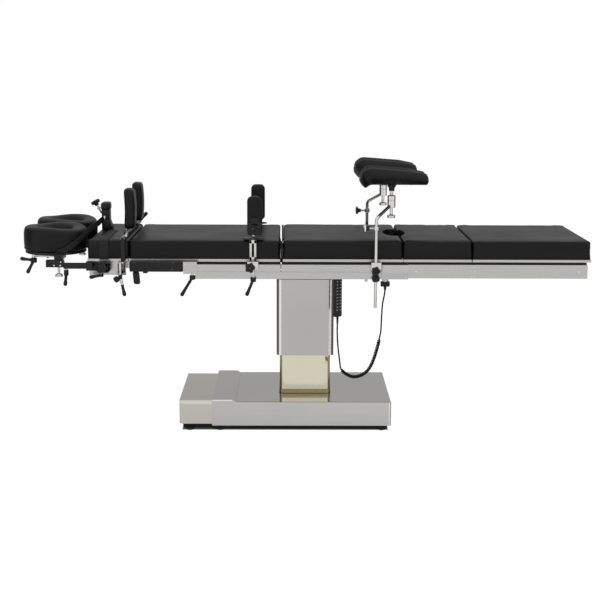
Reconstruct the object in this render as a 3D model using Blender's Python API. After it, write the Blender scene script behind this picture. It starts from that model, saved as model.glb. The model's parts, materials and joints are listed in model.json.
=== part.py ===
"""Electric operating table with two side supports, two knee crutches and a ring head rest.

Metres, +Z up. The origin is on the floor under the middle of the column.
-X is the head end, +X the foot end, -Y the near side with the hand control.
"""
import math

import bmesh
import bpy
from mathutils import Matrix, Vector

for old in list(bpy.data.objects):
    bpy.data.objects.remove(old, do_unlink=True)

# Clearances shared by all pieces
GAP = 0.0003
OVERRUN = 0.002
WELD = 0.0015
RUNNING = 0.0006
PIN_RADIUS = 0.005
ROUND_SIDES = 12
FINE_SIDES = 16
SMALL_SIDES = 8
OVAL_SIDES = 24
SHARP_SHARE = 0.19

# Table top: the pivot of its frame on the column, its heights, width and the splits between the sections
TILT_HEIGHT = 0.650
TOP_RISE = 0.1175
TOP_HEIGHT = TILT_HEIGHT + TOP_RISE
PAD_THICKNESS = 0.0735
PAD_HALF_WIDTH = 0.260
BOARD_THICKNESS = 0.010
BOARD_PROUD = 0.002
HEAD_END = -0.8424
HEAD_SPLIT = -0.6832
BACK_SPLIT = -0.0944
BACK_SLIT = 0.011
LEG_SPLIT = 0.3760
FOOT_SPLIT = 0.6439
FOOT_END = 1.1055
PAD_MEET = 0.0005
BOARD_INSET = 0.0015
PAD_FLOOR = TOP_HEIGHT - PAD_THICKNESS
BOARD_TOP = PAD_FLOOR - GAP
BOARD_FLOOR = BOARD_TOP - BOARD_THICKNESS
BOARD_HALF_WIDTH = PAD_HALF_WIDTH + BOARD_PROUD


def from_top(rises):
    """Heights from their rises over the table top, where a negative rise lies under it."""
    return tuple(TOP_HEIGHT + rise for rise in rises)



# Cushion form
PAD_CORNER = 0.006
PAD_EDGE = 0.010
PAD_FOOT_EDGE = 0.004
PAD_CROWN = 0.0025
PAD_DRAW = 0.0012
CROWN_SHARES = (0.34, 0.74)
FOOT_EDGE_SHARE = 0.3
PAD_EDGE_SHARES = ((0, 1), (0.13, 0.5), (0.5, 0.13), (1, 0))

# Drain cut-out between seat and leg sections
DRAIN_X = (0.3176, 0.3994)
DRAIN_HALF_WIDTH = 0.092
DRAIN_CORNER = 0.034

# Shaft of the table frame on the column
SHAFT_RADIUS = 0.009

# Frame under the top
BEAM_Y = (0.250, 0.2885)
BEAM_HEIGHT = 0.0274
BEAM_FLOOR_DROP = 0.1469
BEAM_FLOOR = TOP_HEIGHT - BEAM_FLOOR_DROP
BEAM_X = (-0.426, 0.355)
BEAM_TOP = BEAM_FLOOR + BEAM_HEIGHT
STRINGER_Y = (0.215, 0.235)
SEAT_STRINGER_X = (-0.045, 0.350)
END_MEMBER_WIDTH = 0.024
DRAIN_MEMBER_X = 0.285
BEARING_X = (0.150, 0.170)
BEARING_HALF_WIDTH = 0.030
BEARING_WALL = 0.015
STUB_WIDTH = 0.020
CHEEK_THICKNESS = 0.008
CHEEK_END = 0.394
CONTROL_HANGER_X = (0.116, 0.138)
CONTROL_HANGER_REACH = 0.028
CONTROL_HANGER_THICKNESS = 0.006
SOCKET_X = 0.3072
SOCKET_Y = -0.270
SOCKET_RADIUS = 0.012
SOCKET_HEIGHT = 0.0106

# Accessory rails
RAIL_STANDOFF = 0.018
RAIL_THICKNESS = 0.010
RAIL_INNER = BOARD_HALF_WIDTH + RAIL_STANDOFF
RAIL_Y = (RAIL_INNER, RAIL_INNER + RAIL_THICKNESS)
RAIL_RISES = (-0.1186, -0.0909)
RAIL_Z = from_top(RAIL_RISES)
SEAT_RAIL_X = (-0.0945, 0.394)
BACK_RAIL_END = -0.0975
BACK_RAIL_START_NEAR = -0.430
BACK_RAIL_START_FAR = -0.660
SPACER_LENGTH = 0.020
SPACER_RISES = (-0.1125, -0.0955)
SPACER_Z = from_top(SPACER_RISES)
SEAT_SPACER_SHARES = (0.24, 0.60, 0.90)
BACK_SPACER_SHARES = (0.06, 0.50, 0.92)

# Back hinge, carried by lugs in slots of the seat section
BACK_AXIS_X = -0.0644
BACK_AXIS_DROP = 0.0175
BACK_AXIS_Z = TOP_HEIGHT - BACK_AXIS_DROP
LUG_RADIUS = 0.009
BACK_LUG_Y = (0.222, 0.232)
SEAT_LUG_Y = (0.2335, 0.2435)
LUG_FOOT_HEIGHT = 0.018
SLOT_CLEARANCE = 0.0015
BACK_LUG_START = -0.130
BACK_STRINGER_FLOOR_DROP = 0.1175
BACK_STRINGER_FLOOR = TOP_HEIGHT - BACK_STRINGER_FLOOR_DROP
BACK_CROSS_SHARES = (0.12, 0.52, 0.96)
CROSS_WIDTH = 0.024
CROSS_HEIGHT = 0.020

# Head hinge
HEAD_AXIS_X = -0.683
HEAD_AXIS_DROP = 0.0995
HEAD_AXIS_Z = TOP_HEIGHT - HEAD_AXIS_DROP
HEAD_EYE_RADIUS = 0.0145
HEAD_PLATE_Y = (0.236, 0.246)
HEAD_PLATE_X = (-0.8385, -0.6975)
HEAD_PLATE_FLOOR_DROP = 0.1400
HEAD_PLATE_FLOOR = TOP_HEIGHT - HEAD_PLATE_FLOOR_DROP

# Leg hinge
LEG_AXIS_X = 0.3775
LEG_AXIS_DROP = 0.1355
LEG_AXIS_Z = TOP_HEIGHT - LEG_AXIS_DROP
LEG_EYE_RADIUS = 0.0110
LEG_BAR_Y = (0.256, 0.278)
LEG_EAR_Y = 0.262
LEG_BAR_X = (0.3945, 1.089)
LEG_BAR_RISES = (-0.1445, -0.0915)
LEG_BAR_Z = from_top(LEG_BAR_RISES)
LEG_CROSS_SHARES = (0.05, 0.365, 0.66, 0.95)
HINGE_HEAD_RADIUS = 0.008
HINGE_HEAD_THICKNESS = 0.0025

# Base
FOOT_HEIGHT = 0.007
FOOT_X = (-0.3425, 0.2975)
FOOT_WIDTH = 0.040
FOOT_SHORT = 0.035
PLINTH_HEIGHT = 0.023
PLINTH_X = (-0.486, 0.328)
PLINTH_SET_BACK = 0.011
PLINTH_CORNER = 0.006
COVER_X = (-0.3695, 0.3405)
COVER_HALF_WIDTH = 0.246
PLINTH_HALF_WIDTH = COVER_HALF_WIDTH - PLINTH_SET_BACK
FOOT_HALF_LENGTH = PLINTH_HALF_WIDTH - FOOT_SHORT
COVER_FLOOR = 0.023
COVER_TOP = 0.120
COVER_WALL = 0.003
COVER_FLANGE = 0.018
COVER_EDGE = 0.002
HUMP_RISE = 0.008
HUMP_END = -0.288
HUMP_SLOPE = 0.013
END_COVER_START = -0.500
END_SET_BACK = 0.012
END_LIFT = 0.004
END_CHAMFER = 0.012
END_CORNER = 0.015
INLET_HALF_WIDTH = 0.050
INLET_Z = (0.078, 0.102)
INLET_DEPTH = 0.033
INLET_PROUD = 0.003
BATTERY_X = (-0.330, -0.150)
BATTERY_HALF_WIDTH = 0.080
BATTERY_HEIGHT = 0.070
PLINTH_TOP = FOOT_HEIGHT + PLINTH_HEIGHT
CARRIED = PLINTH_TOP + GAP

# Column, in three telescoping sleeves with a lift actuator inside
SLEEVE_WALL = 0.003
SLEEVE_CORNER = 0.020
UPPER_HALF = (0.115, 0.120)
UPPER_DROPS = (0.370, 0.060)
UPPER_Z = tuple(TILT_HEIGHT - drop for drop in UPPER_DROPS)
MIDDLE_HALF = (0.102, 0.110)
MIDDLE_FLOOR = 0.070
MIDDLE_OVERLAP = 0.160
MIDDLE_Z = (MIDDLE_FLOOR, UPPER_Z[0] + MIDDLE_OVERLAP)
INNER_HALF = (0.092, 0.100)
INNER_SHORT = 0.010
INNER_TOP = UPPER_Z[0] - INNER_SHORT
COLLAR_HEIGHT = 0.030
HEAD_PLATE_THICKNESS = 0.025
HEAD_PLATE_RECESS = 0.005
EAR_Y = (0.038, 0.055)
EAR_RADIUS = 0.015
EAR_FOOT_HALF = 0.024
ACTUATOR_RADIUS = 0.035
ACTUATOR_SHORT = 0.040
ACTUATOR_TOP = MIDDLE_Z[1] - ACTUATOR_SHORT
ACTUATOR_FLOOR = 0.0045
ROD_RADIUS = 0.022
ROD_START = 0.110
CROSS_BLOCK_HALF = (0.035, 0.035, 0.018)

# Side supports on the back section
SIDE_POST_X = -0.2025
SIDE_POST_Y = 0.2435
SIDE_POST_RADIUS = 0.006
SIDE_CLAMP_HALF = 0.021
SIDE_CLAMP_RISES = (-0.1092, -0.0780)
SIDE_CLAMP_Z = from_top(SIDE_CLAMP_RISES)
CLAMP_HOOK = 0.012
CLAMP_FACE = 0.014
SIDE_BAR_HALF = 0.0129
SIDE_BAR_THICKNESS = 0.005
SIDE_BAR_CLEAR = 0.010
SIDE_BAR_CENTRE = -0.204
SIDE_BAR_TOP_RISE = 0.0073
SIDE_BAR_TOP = TOP_HEIGHT + SIDE_BAR_TOP_RISE
SIDE_SLOT_HALF = 0.004
SIDE_OVAL_HALF = (0.0425, 0.029)
SIDE_OVAL_THICKNESS = 0.005
SIDE_PAD_HALF = 0.0287
SIDE_PAD_THICKNESS = 0.037
SIDE_PAD_RISES = (0.0195, 0.1665)
SIDE_PAD_Z = from_top(SIDE_PAD_RISES)
SIDE_PAD_CENTRE = -0.1975
SIDE_BRACKET_RISES = (0.0202, 0.0723)
SIDE_BRACKET_Z = from_top(SIDE_BRACKET_RISES)
SIDE_BRACKET_THICKNESS = 0.014
SIDE_BRACKET_HALF = 0.024
STAR_RADIUS = 0.021
STAR_THICKNESS = 0.014
STAR_OFFSET = -0.012
STAR_STEM = 0.012
STAR_LOBES = 5
STAR_DIP_SHARE = 0.72
LEVER_OFFSET = 0.008
LEVER_Y = RAIL_Y[1] + LEVER_OFFSET
LEVER_SCREW = 0.0045
LEVER_HUB = (0.0085, 0.016)
LEVER_ROD = 0.0048
LEVER_GRIP = 0.0056
LEVER_TIP = 0.0074
LEVER_END = 0.0081
GRIP_START_SHARE = 0.45
SIDE_LEVER_TIP = (-0.0235, -0.0566)
SIDE_LEVER_DROP = 0.1480
SIDE_LEVER_Z = TOP_HEIGHT - SIDE_LEVER_DROP

# Back clamp lever and rail box on the near side
BOX_X = (-0.6774, -0.4718)
BOX_Y = (0.2630, 0.296)
BOX_RISES = (-0.1192, -0.0782)
BOX_Z = from_top(BOX_RISES)
BOX_EDGE = 0.003
BOX_MOUNT_X = (-0.620, -0.480)
BOX_MOUNT_TOP_DROP = 0.0875
BOX_MOUNT_TOP = TOP_HEIGHT - BOX_MOUNT_TOP_DROP
GRIP_X = (-0.6676, -0.6420)
GRIP_FLOOR_DROP = 0.1705
GRIP_FLOOR = TOP_HEIGHT - GRIP_FLOOR_DROP
GRIP_RADIUS = 0.0045
GRIP_THICKNESS = 0.015
GRIP_Y = 0.279
END_PLATE_X = (-0.4715, -0.4185)
END_PLATE_RISES = (-0.1268, -0.0800)
END_PLATE_Z = from_top(END_PLATE_RISES)
END_PLATE_Y = (0.2893, 0.2975)
BACK_LEVER_X = -0.4363
BACK_LEVER_DROP = 0.1405
BACK_LEVER_Z = TOP_HEIGHT - BACK_LEVER_DROP
BACK_LEVER_TIP = (-0.0405, -0.0666)

# Knee crutches on the seat rails
KNEE_ROD_X = 0.268
KNEE_ROD_OFFSET = 0.012
KNEE_ROD_Y = RAIL_Y[1] + KNEE_ROD_OFFSET
KNEE_ROD_RADIUS = 0.00625
KNEE_ROD_RISES = (-0.2565, 0.0905)
KNEE_ROD_Z = from_top(KNEE_ROD_RISES)
KNEE_CLAMP_X = (0.2502, 0.2889)
KNEE_CLAMP_RISES = (-0.1099, -0.0788)
KNEE_CLAMP_Z = from_top(KNEE_CLAMP_RISES)
KNEE_CLAMP_FACE = 0.022
KNEE_SLEEVE_RISES = (-0.1549, -0.1315)
KNEE_SLEEVE_Z = from_top(KNEE_SLEEVE_RISES)
KNEE_SLEEVE_RADIUS = (0.0112, 0.0092)
KNEE_CYLINDER_X = 0.3298
KNEE_CYLINDER_Y = 0.225
KNEE_CYLINDER_RISES = (0.1245, 0.1705)
KNEE_CYLINDER_Z = from_top(KNEE_CYLINDER_RISES)
KNEE_CYLINDER_RADIUS = 0.0157
KNEE_COLLAR_RISES = (0.0445, 0.0605)
KNEE_COLLAR_Z = from_top(KNEE_COLLAR_RISES)
KNEE_COLLAR_RADIUS = 0.0110
KNEE_T_ROD = 0.0040
KNEE_T_X = (0.2222, 0.239)
KNEE_T_HEIGHT = 0.0357
KNEE_T_RADIUS = 0.0085
KNEE_BEND = 0.025
KNEE_ENTRY_RISE = 0.1355
KNEE_ENTRY_Z = TOP_HEIGHT + KNEE_ENTRY_RISE
KNEE_FOOT_KNOB_RISES = (0.0835, 0.0955)
KNEE_FOOT_KNOB_Z = from_top(KNEE_FOOT_KNOB_RISES)
KNEE_FOOT_KNOB_RADIUS = 0.0155
KNEE_PIN_RADIUS = 0.006
KNEE_CONE_RISES = (0.1902, 0.2172)
KNEE_CONE_Z = from_top(KNEE_CONE_RISES)
KNEE_CONE_RADIUS = (0.0070, 0.0178)
KNEE_PAD_X = (0.1985, 0.4665)
KNEE_PAD_FLOOR_RISE = 0.2145
KNEE_PAD_FLOOR = TOP_HEIGHT + KNEE_PAD_FLOOR_RISE
KNEE_PAD_THICKNESS = 0.044
KNEE_PAD_THIN_SHARE = 0.5
KNEE_PAD_HALF_WIDTH = 0.0705
KNEE_PAD_RIM = 0.030
KNEE_LOBE_LENGTH = 0.060
KNEE_LOBE_DROP = 0.018
KNEE_PAD_EDGE_SHARES = (0.0, 0.10, 0.26, 0.5, 0.74, 0.90, 1.0)
KNEE_PAD_STATIONS = 9
KNEE_END_SHARE = 0.55
KNEE_TAPER_SHARE = 0.4
KNEE_RIM_SHARE = 0.08
KNEE_WAIST_SHARE = 0.14

# Head section pieces
STRAP_CLAMP_X = (-0.8070, -0.7500)
STRAP_CLAMP_OFFSET = 0.010
STRAP_CLAMP_Y = RAIL_Y[1] + STRAP_CLAMP_OFFSET
STRAP_CLAMP_RISES = (-0.1238, -0.0810)
STRAP_CLAMP_Z = from_top(STRAP_CLAMP_RISES)
STRAP_LEVER_X = -0.785
STRAP_LEVER_TIP = (-0.0390, -0.0080)
POST_X = (-0.8270, -0.7950)
POST_Y = (0.022, 0.078)
POST_TOP_RISE = 0.1125
POST_TOP = TOP_HEIGHT + POST_TOP_RISE
POST_FOOT = 0.012
POST_FOOT_HEIGHT = 0.045
POST_CAP_HEIGHT = 0.034
POST_CAP_PROUD = 0.003
POST_EDGE = 0.004
POST_CAP_EDGE = 0.0022
KNOB_LEAN = (-0.470, 0.883)
KNOB_START_RISE = 0.0605
KNOB_START_Z = TOP_HEIGHT + KNOB_START_RISE
KNOB_STEM_LENGTH = 0.050
KNOB_STEM_RADIUS = 0.004
KNOB_COLLAR = (0.0070, 0.006)
POST_STAR_SHARE = 0.9
SHOULDER_BAR_X = (-0.711, -0.695)
SHOULDER_BAR_RISES = (0.0025, 0.0105)
SHOULDER_BAR_Z = from_top(SHOULDER_BAR_RISES)
SHOULDER_BAR_CLEAR = 0.020
SHOULDER_BAR_REACH = BOARD_HALF_WIDTH + SHOULDER_BAR_CLEAR
SHOULDER_DROP_THICKNESS = 0.006
SHOULDER_CLAMP_X = (-0.722, -0.698)
SHOULDER_CLAMP_RISES = (-0.1275, -0.0815)
SHOULDER_CLAMP_Z = from_top(SHOULDER_CLAMP_RISES)
SHOULDER_CLAMP_COVER = 0.016
SHOULDER_CLAMP_Y = SHOULDER_BAR_REACH + SHOULDER_CLAMP_COVER
SHOULDER_LEVER_X = -0.7115
SHOULDER_LEVER_OFFSET = 0.005
SHOULDER_LEVER_Y = SHOULDER_CLAMP_Y + SHOULDER_LEVER_OFFSET
SHOULDER_SCREW_RISES = (-0.1375, -0.0815)
SHOULDER_SCREW_Z = from_top(SHOULDER_SCREW_RISES)
SHOULDER_LEVER_TIP = (0.0141, -0.0683)
SHOULDER_BALL = (-0.0150, -0.0097)
SHOULDER_BALL_RADIUS = 0.0095
FAR_LEVER_TIP = (0.0270, 0.0320)
SHOULDER_PAD_Y = 0.130
SHOULDER_PAD_HALF = 0.042
SHOULDER_PAD_X = (-0.7084, -0.6677)
SHOULDER_PAD_RISES = (0.0280, 0.1868)
SHOULDER_PAD_Z = from_top(SHOULDER_PAD_RISES)
SHOULDER_PAD_BOW = 0.006
SHOULDER_POST_RADIUS = 0.006
SLIDER_HALF = 0.018
SLIDER_WALL = 0.004
RING_CENTRE_X = -0.9855
RING_CENTRE_Y = 0.135
RING_RADIUS = 0.1245
RING_HOLE = 0.052
RING_FLOOR_DROP = 0.0535
RING_FLOOR = TOP_HEIGHT - RING_FLOOR_DROP
RING_TOP_RISE = 0.0445
RING_TOP = TOP_HEIGHT + RING_TOP_RISE
RING_EDGE = 0.026
RING_SIDES = 24
RING_INNER_SHARES = ((0.10, 1.1), (0.45, 0.42), (1.0, 0.08), (1.35, 0))
RING_OUTER_SHARES = ((0.85, 0.07), (0.35, 0.33), (0.06, 0.8))
RING_FOOT_SHARE = 0.125
RING_PLATE_RADIUS = 0.1185
RING_PLATE_THICKNESS = 0.010
RING_BLOCK_X = (-0.9977, -0.9296)
RING_BLOCK_Y = (0.268, 0.292)
RING_BLOCK_RISES = (-0.1034, -0.0761)
RING_BLOCK_Z = from_top(RING_BLOCK_RISES)
RING_BAR_RISES = (-0.1095, -0.0875)
RING_BAR_Z = from_top(RING_BAR_RISES)
RING_BAR_Y = (0.272, 0.288)
RING_BAR_END = -0.8200
RING_PIVOT_X = -0.9500
RING_KNOB_RISES = (-0.1405, -0.1295)
RING_KNOB_Z = from_top(RING_KNOB_RISES)
RING_KNOB_RADIUS = 0.0148
RING_LINK_HALF = 0.016
RING_LEVER_X = -0.9221
RING_LEVER_TIP = (-0.0050, -0.0450)
TWIN_CLAMP_X = -1.0615
TWIN_CLAMP_Y = 0.200
TWIN_CLAMP_RISES = (-0.0955, -0.0615)
TWIN_CLAMP_Z = from_top(TWIN_CLAMP_RISES)
TWIN_CLAMP_RADIUS = 0.011
TWIN_TIPS = ((-0.0440, -0.0020), (-0.0200, -0.0440))

# Hand control, its plug and the cord between them
CONTROL_CENTRE = (0.1264, -0.200)
CONTROL_SIZE = (0.036, 0.017, 0.164)
CONTROL_FLOOR_DROP = 0.3118
CONTROL_FLOOR = TOP_HEIGHT - CONTROL_FLOOR_DROP
CONTROL_TURN = math.radians(35)
CONTROL_EDGE = 0.004
RELIEF_LENGTH = 0.0285
RELIEF_RADIUS = (0.0036, 0.0052)
PLUG_HALF = (0.0175, 0.010)
PLUG_RISES = (-0.1775, -0.1578)
PLUG_Z = from_top(PLUG_RISES)
PLUG_NECK_DROP = 0.1925
PLUG_NECK_Z = TOP_HEIGHT - PLUG_NECK_DROP
PLUG_NECK_RADIUS = (0.0040, 0.0064)
CORD_DIAMETER = 0.0062
CURLY_DIAMETER = 0.0150
CURLS = 28
CURL_POINTS = 8
CORD_STEP_SHARE = 3.0
ROUTE_PARTS = 40
CORD_OUT = (
    (0.1264, -0.2000, 0.4269),
    (0.1264, -0.2003, 0.4150),
    (0.1260, -0.2036, 0.3950),
    (0.1286, -0.2090, 0.3428),
    (0.1369, -0.2110, 0.2737),
    (0.1410, -0.2120, 0.2493),
)
CORD_CURLY = (
    (0.1410, -0.2120, 0.2493),
    (0.1565, -0.2160, 0.2313),
    (0.1884, -0.2200, 0.2169),
    (0.2240, -0.2230, 0.2250),
    (0.2516, -0.2270, 0.2514),
    (0.2703, -0.2320, 0.2944),
    (0.2848, -0.2390, 0.3492),
    (0.2904, -0.2430, 0.3794),
)
CORD_IN = (
    (0.2904, -0.2430, 0.3794),
    (0.2952, -0.2490, 0.4116),
    (0.2965, -0.2600, 0.4734),
    (0.2990, -0.2670, 0.5220),
    (0.3050, -0.2700, 0.5560),
    (0.3072, -0.2700, 0.5747),
)

SIDES = {"near": -1, "far": 1}


def material(name, colour, roughness, metallic=0.0):
    """A Principled material."""
    made = bpy.data.materials.new(name)
    made.use_nodes = True
    shader = made.node_tree.nodes["Principled BSDF"]
    shader.inputs["Base Color"].default_value = (*colour, 1.0)
    shader.inputs["Roughness"].default_value = roughness
    shader.inputs["Metallic"].default_value = metallic
    made.diffuse_color = (*colour, 1.0)
    return made


STEEL = material("brushed steel", (0.62, 0.61, 0.58), 0.35, 1.0)
CHAMPAGNE = material("champagne steel", (0.70, 0.63, 0.50), 0.35, 1.0)
CHROME = material("chrome", (0.80, 0.80, 0.80), 0.12, 1.0)
PAD_BLACK = material("black upholstery", (0.018, 0.018, 0.020), 0.55)
PLASTIC = material("black plastic", (0.02, 0.02, 0.02), 0.45)
PAINT = material("black paint", (0.03, 0.03, 0.03), 0.50)
RUBBER = material("black rubber", (0.02, 0.02, 0.02), 0.80)
IRON = material("cast base", (0.04, 0.04, 0.04), 0.70, 0.3)

# Each body's axis or slide sits on its own empty
back_axis = (BACK_AXIS_X, 0, BACK_AXIS_Z)
head_axis = (HEAD_AXIS_X, 0, HEAD_AXIS_Z)
leg_axis = (LEG_AXIS_X, 0, LEG_AXIS_Z)
tilt_axis = (0, 0, TILT_HEIGHT)
BODIES = {
    "base": (None, (0, 0, 0)),
    "mid": ("base", (0, 0, MIDDLE_Z[0])),
    "lift": ("base", (0, 0, UPPER_Z[0])),
    "trend": ("lift", tilt_axis),
    "frame": ("trend", tilt_axis),
    "leg": ("frame", leg_axis),
    "back": ("frame", back_axis),
    "head": ("back", head_axis),
    "box_grip": ("back", (sum(GRIP_X) / 2, -GRIP_Y, BOX_Z[0] - GAP - GRIP_RADIUS)),
    "back_lever": ("back", (BACK_LEVER_X, -sum(END_PLATE_Y) / 2, BACK_LEVER_Z)),
    "shoulder_lever_near": ("head", (SHOULDER_LEVER_X, -SHOULDER_LEVER_Y, SHOULDER_SCREW_Z[0])),
    "shoulder_lever_far": ("head", (sum(SHOULDER_BAR_X) / 2, SHOULDER_BAR_REACH, sum(SHOULDER_BAR_Z) / 2)),
    "ring_lever": ("head", (RING_LEVER_X, -sum(RING_BAR_Y) / 2, RING_BAR_Z[0])),
    "strap_lever": ("head", (STRAP_LEVER_X, -LEVER_Y, STRAP_CLAMP_Z[0])),
}
for side, sign in SIDES.items():
    BODIES["side_pad_" + side] = ("back", (SIDE_POST_X, sign * SIDE_POST_Y, SIDE_BAR_TOP))
    BODIES["side_lever_" + side] = ("back", (SIDE_POST_X, sign * LEVER_Y, SIDE_LEVER_Z))
    BODIES["knee_arm_" + side] = ("frame", (KNEE_ROD_X, sign * KNEE_ROD_Y, KNEE_ROD_Z[0]))
    BODIES["knee_pad_" + side] = (
        "knee_arm_" + side, (KNEE_CYLINDER_X, sign * KNEE_CYLINDER_Y, KNEE_CYLINDER_Z[1]))
    BODIES["shoulder_pad_" + side] = (
        "head", (sum(SHOULDER_BAR_X) / 2, sign * SHOULDER_PAD_Y, SHOULDER_BAR_Z[1]))
    BODIES["ring_" + side] = ("head", (RING_PIVOT_X, sign * sum(RING_BLOCK_Y) / 2, RING_BLOCK_Z[1]))
knob_lean = Vector((KNOB_LEAN[0], 0, KNOB_LEAN[1])).normalized()
knob_foot = Vector((POST_X[0], sum(POST_Y) / 2, KNOB_START_Z))
BODIES["post_knob"] = ("head", tuple(knob_foot))

EMPTIES = {}
for body, (carrier, place) in BODIES.items():
    empty = bpy.data.objects.new(body + "_axis", None)
    bpy.context.scene.collection.objects.link(empty)
    empty.location = place
    if carrier:
        empty.parent = EMPTIES[carrier]
        empty.location = Vector(place) - Vector(BODIES[carrier][1])
    EMPTIES[body] = empty


def closed(bm):
    """The mesh with all its faces turned outwards."""
    bmesh.ops.recalc_face_normals(bm, faces=bm.faces)
    return bm


def span(sign, pair):
    """A pair of distances from the middle, as limits on one side of it."""
    return tuple(sorted((sign * pair[0], sign * pair[1])))


def around(centre, half):
    """Limits at a half width to both sides of a centre."""
    return (centre - half, centre + half)


def block(x, y, z, edge=0, steps=1, upright=False):
    """A box between three pairs of limits, with rounded edges."""
    bm = bmesh.new()
    bmesh.ops.create_cube(bm, size=1)
    for vert in bm.verts:
        for index, pair in enumerate((x, y, z)):
            vert.co[index] = pair[0] if vert.co[index] < 0 else pair[1]
    if edge:
        edges = bm.edges[:]
        if upright:
            edges = [e for e in edges if abs(e.verts[0].co.z - e.verts[1].co.z) > abs(z[1] - z[0]) / 2]
        bmesh.ops.bevel(bm, geom=edges, offset=edge, segments=steps, profile=0.5, affect='EDGES', material=-1)
    return closed(bm)


def loft(rings, loop=False):
    """Rings of points joined in order, with caps, or as a closed loop."""
    bm = bmesh.new()
    rows = [[bm.verts.new(point) for point in ring] for ring in rings]
    count = len(rows[0])
    pairs = list(zip(rows, rows[1:]))
    if loop:
        pairs.append((rows[-1], rows[0]))
    else:
        bm.faces.new(rows[0])
        bm.faces.new(rows[-1])
    for low, high in pairs:
        for i in range(count):
            j = (i + 1) % count
            bm.faces.new((low[i], low[j], high[j], high[i]))
    return closed(bm)


def prism(outline, axis, limits):
    """An outline in the plane across an axis, pulled along that axis."""
    index = "XYZ".index(axis)

    def place(point, along):
        values = list(point)
        values.insert(index, along)
        return Vector(values)

    return loft([[place(point, along) for point in outline] for along in limits])


def round_outline(half_x, half_y, radius, steps=3):
    """A rectangle with round corners about the origin, as plan points."""
    points = []
    corners = ((1, 1), (-1, 1), (-1, -1), (1, -1))
    for turn, (sx, sy) in enumerate(corners):
        for step in range(steps + 1):
            angle = math.pi / 2 * (turn + step / steps)
            points.append((sx * (half_x - radius) + radius * math.cos(angle),
                           sy * (half_y - radius) + radius * math.sin(angle)))
    return points


def shifted(points, x, y):
    """Plan points moved to a centre."""
    return [(px + x, py + y) for px, py in points]


def disc_points(centre, radius, sides=ROUND_SIDES):
    """A regular outline round a centre."""
    return [(centre[0] + radius * math.cos(math.tau * i / sides),
             centre[1] + radius * math.sin(math.tau * i / sides)) for i in range(sides)]


def bar(start, end, radius, end_radius=None, sides=ROUND_SIDES):
    """A round bar or cone between two points."""
    start, end = Vector(start), Vector(end)
    along = end - start
    bm = bmesh.new()
    bmesh.ops.create_cone(bm, cap_ends=True, segments=sides, radius1=radius,
                          radius2=radius if end_radius is None else end_radius, depth=along.length)
    turn = Vector((0, 0, 1)).rotation_difference(along).to_matrix().to_4x4()
    bmesh.ops.transform(bm, matrix=Matrix.Translation((start + end) / 2) @ turn, verts=bm.verts)
    return closed(bm)


def ball(centre, radius, sides=SMALL_SIDES):
    """A ball, as for the end of a lever."""
    bm = bmesh.new()
    bmesh.ops.create_uvsphere(bm, u_segments=sides, v_segments=sides // 2, radius=radius)
    bmesh.ops.translate(bm, vec=centre, verts=bm.verts)
    return closed(bm)


def turned(profile, centre, sides):
    """Radius and height pairs turned round an upright axis, closed on themselves."""
    return loft([[(centre[0] + r * math.cos(math.tau * i / sides),
                   centre[1] + r * math.sin(math.tau * i / sides), z) for i in range(sides)]
                 for r, z in profile], loop=True)


def rounded_path(points, radius, steps=4):
    """A bent rod's middle line, with an arc in place of each corner."""
    points = [Vector(p) for p in points]
    path = [points[0]]
    for before, corner, after in zip(points, points[1:], points[2:]):
        come, go = (corner - before).normalized(), (after - corner).normalized()
        reach = radius * math.tan(come.angle(go) / 2)
        start, end = corner - come * reach, corner + go * reach
        for step in range(steps + 1):
            t = step / steps
            path.append(start * (1 - t) ** 2 + corner * 2 * t * (1 - t) + end * t ** 2)
    path.append(points[-1])
    return path


def rod(points, radius, sides=ROUND_SIDES):
    """A round section carried along a path."""
    ahead = [b - a for a, b in zip(points, points[1:])]
    along = [ahead[0]] + [a.normalized() + b.normalized() for a, b in zip(ahead, ahead[1:])] + [ahead[-1]]
    across = along[0].orthogonal().normalized()
    rings = []
    for point, way in zip(points, along):
        way = way.normalized()
        across = (across - way * across.dot(way)).normalized()
        other = way.cross(across)
        rings.append([point + radius * (across * math.cos(math.tau * i / sides)
                                        + other * math.sin(math.tau * i / sides)) for i in range(sides)])
    return loft(rings)


def cushion(length, width, height, corner=PAD_CORNER, edge=PAD_EDGE, foot_edge=PAD_FOOT_EDGE, side_steps=4):
    """A pad on the plan rectangle about the origin: drawn-in sides, round edges and a crown."""
    half_x, half_y = length / 2, width / 2

    def ring(inset, z):
        points = []
        corners = ((1, 1), (-1, 1), (-1, -1), (1, -1))
        for turn, (sx, sy) in enumerate(corners):
            reach = max(corner - inset, corner / 2)
            for step in range(3):
                angle = math.pi / 2 * (turn + step / 2)
                points.append(Vector((sx * (half_x - inset - reach) + reach * math.cos(angle),
                                      sy * (half_y - inset - reach) + reach * math.sin(angle), z)))
            follow = corners[(turn + 1) % 4]
            first = points[-1]
            last = Vector((follow[0] * (half_x - inset - reach) + reach * math.cos(math.pi / 2 * (turn + 1)),
                           follow[1] * (half_y - inset - reach) + reach * math.sin(math.pi / 2 * (turn + 1)), z))
            inward = Vector((-math.cos(math.pi / 2 * (turn + 1)), -math.sin(math.pi / 2 * (turn + 1)), 0))
            for step in range(1, side_steps):
                t = step / side_steps
                points.append(first.lerp(last, t) + inward * PAD_DRAW * math.sin(math.pi * t))
        return points

    top = height - PAD_CROWN
    profile = [(foot_edge, 0), (foot_edge * FOOT_EDGE_SHARE, foot_edge * FOOT_EDGE_SHARE), (0, foot_edge)]
    profile += [(edge * x, top - edge * z) for x, z in PAD_EDGE_SHARES]
    narrow = min(half_x, half_y)
    for share in CROWN_SHARES:
        inset = edge + (narrow - edge - corner) * share
        profile.append((inset, top + PAD_CROWN * math.sin(math.pi / 2 * share / CROWN_SHARES[-1])))
    return loft([ring(inset, z) for inset, z in profile])


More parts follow.
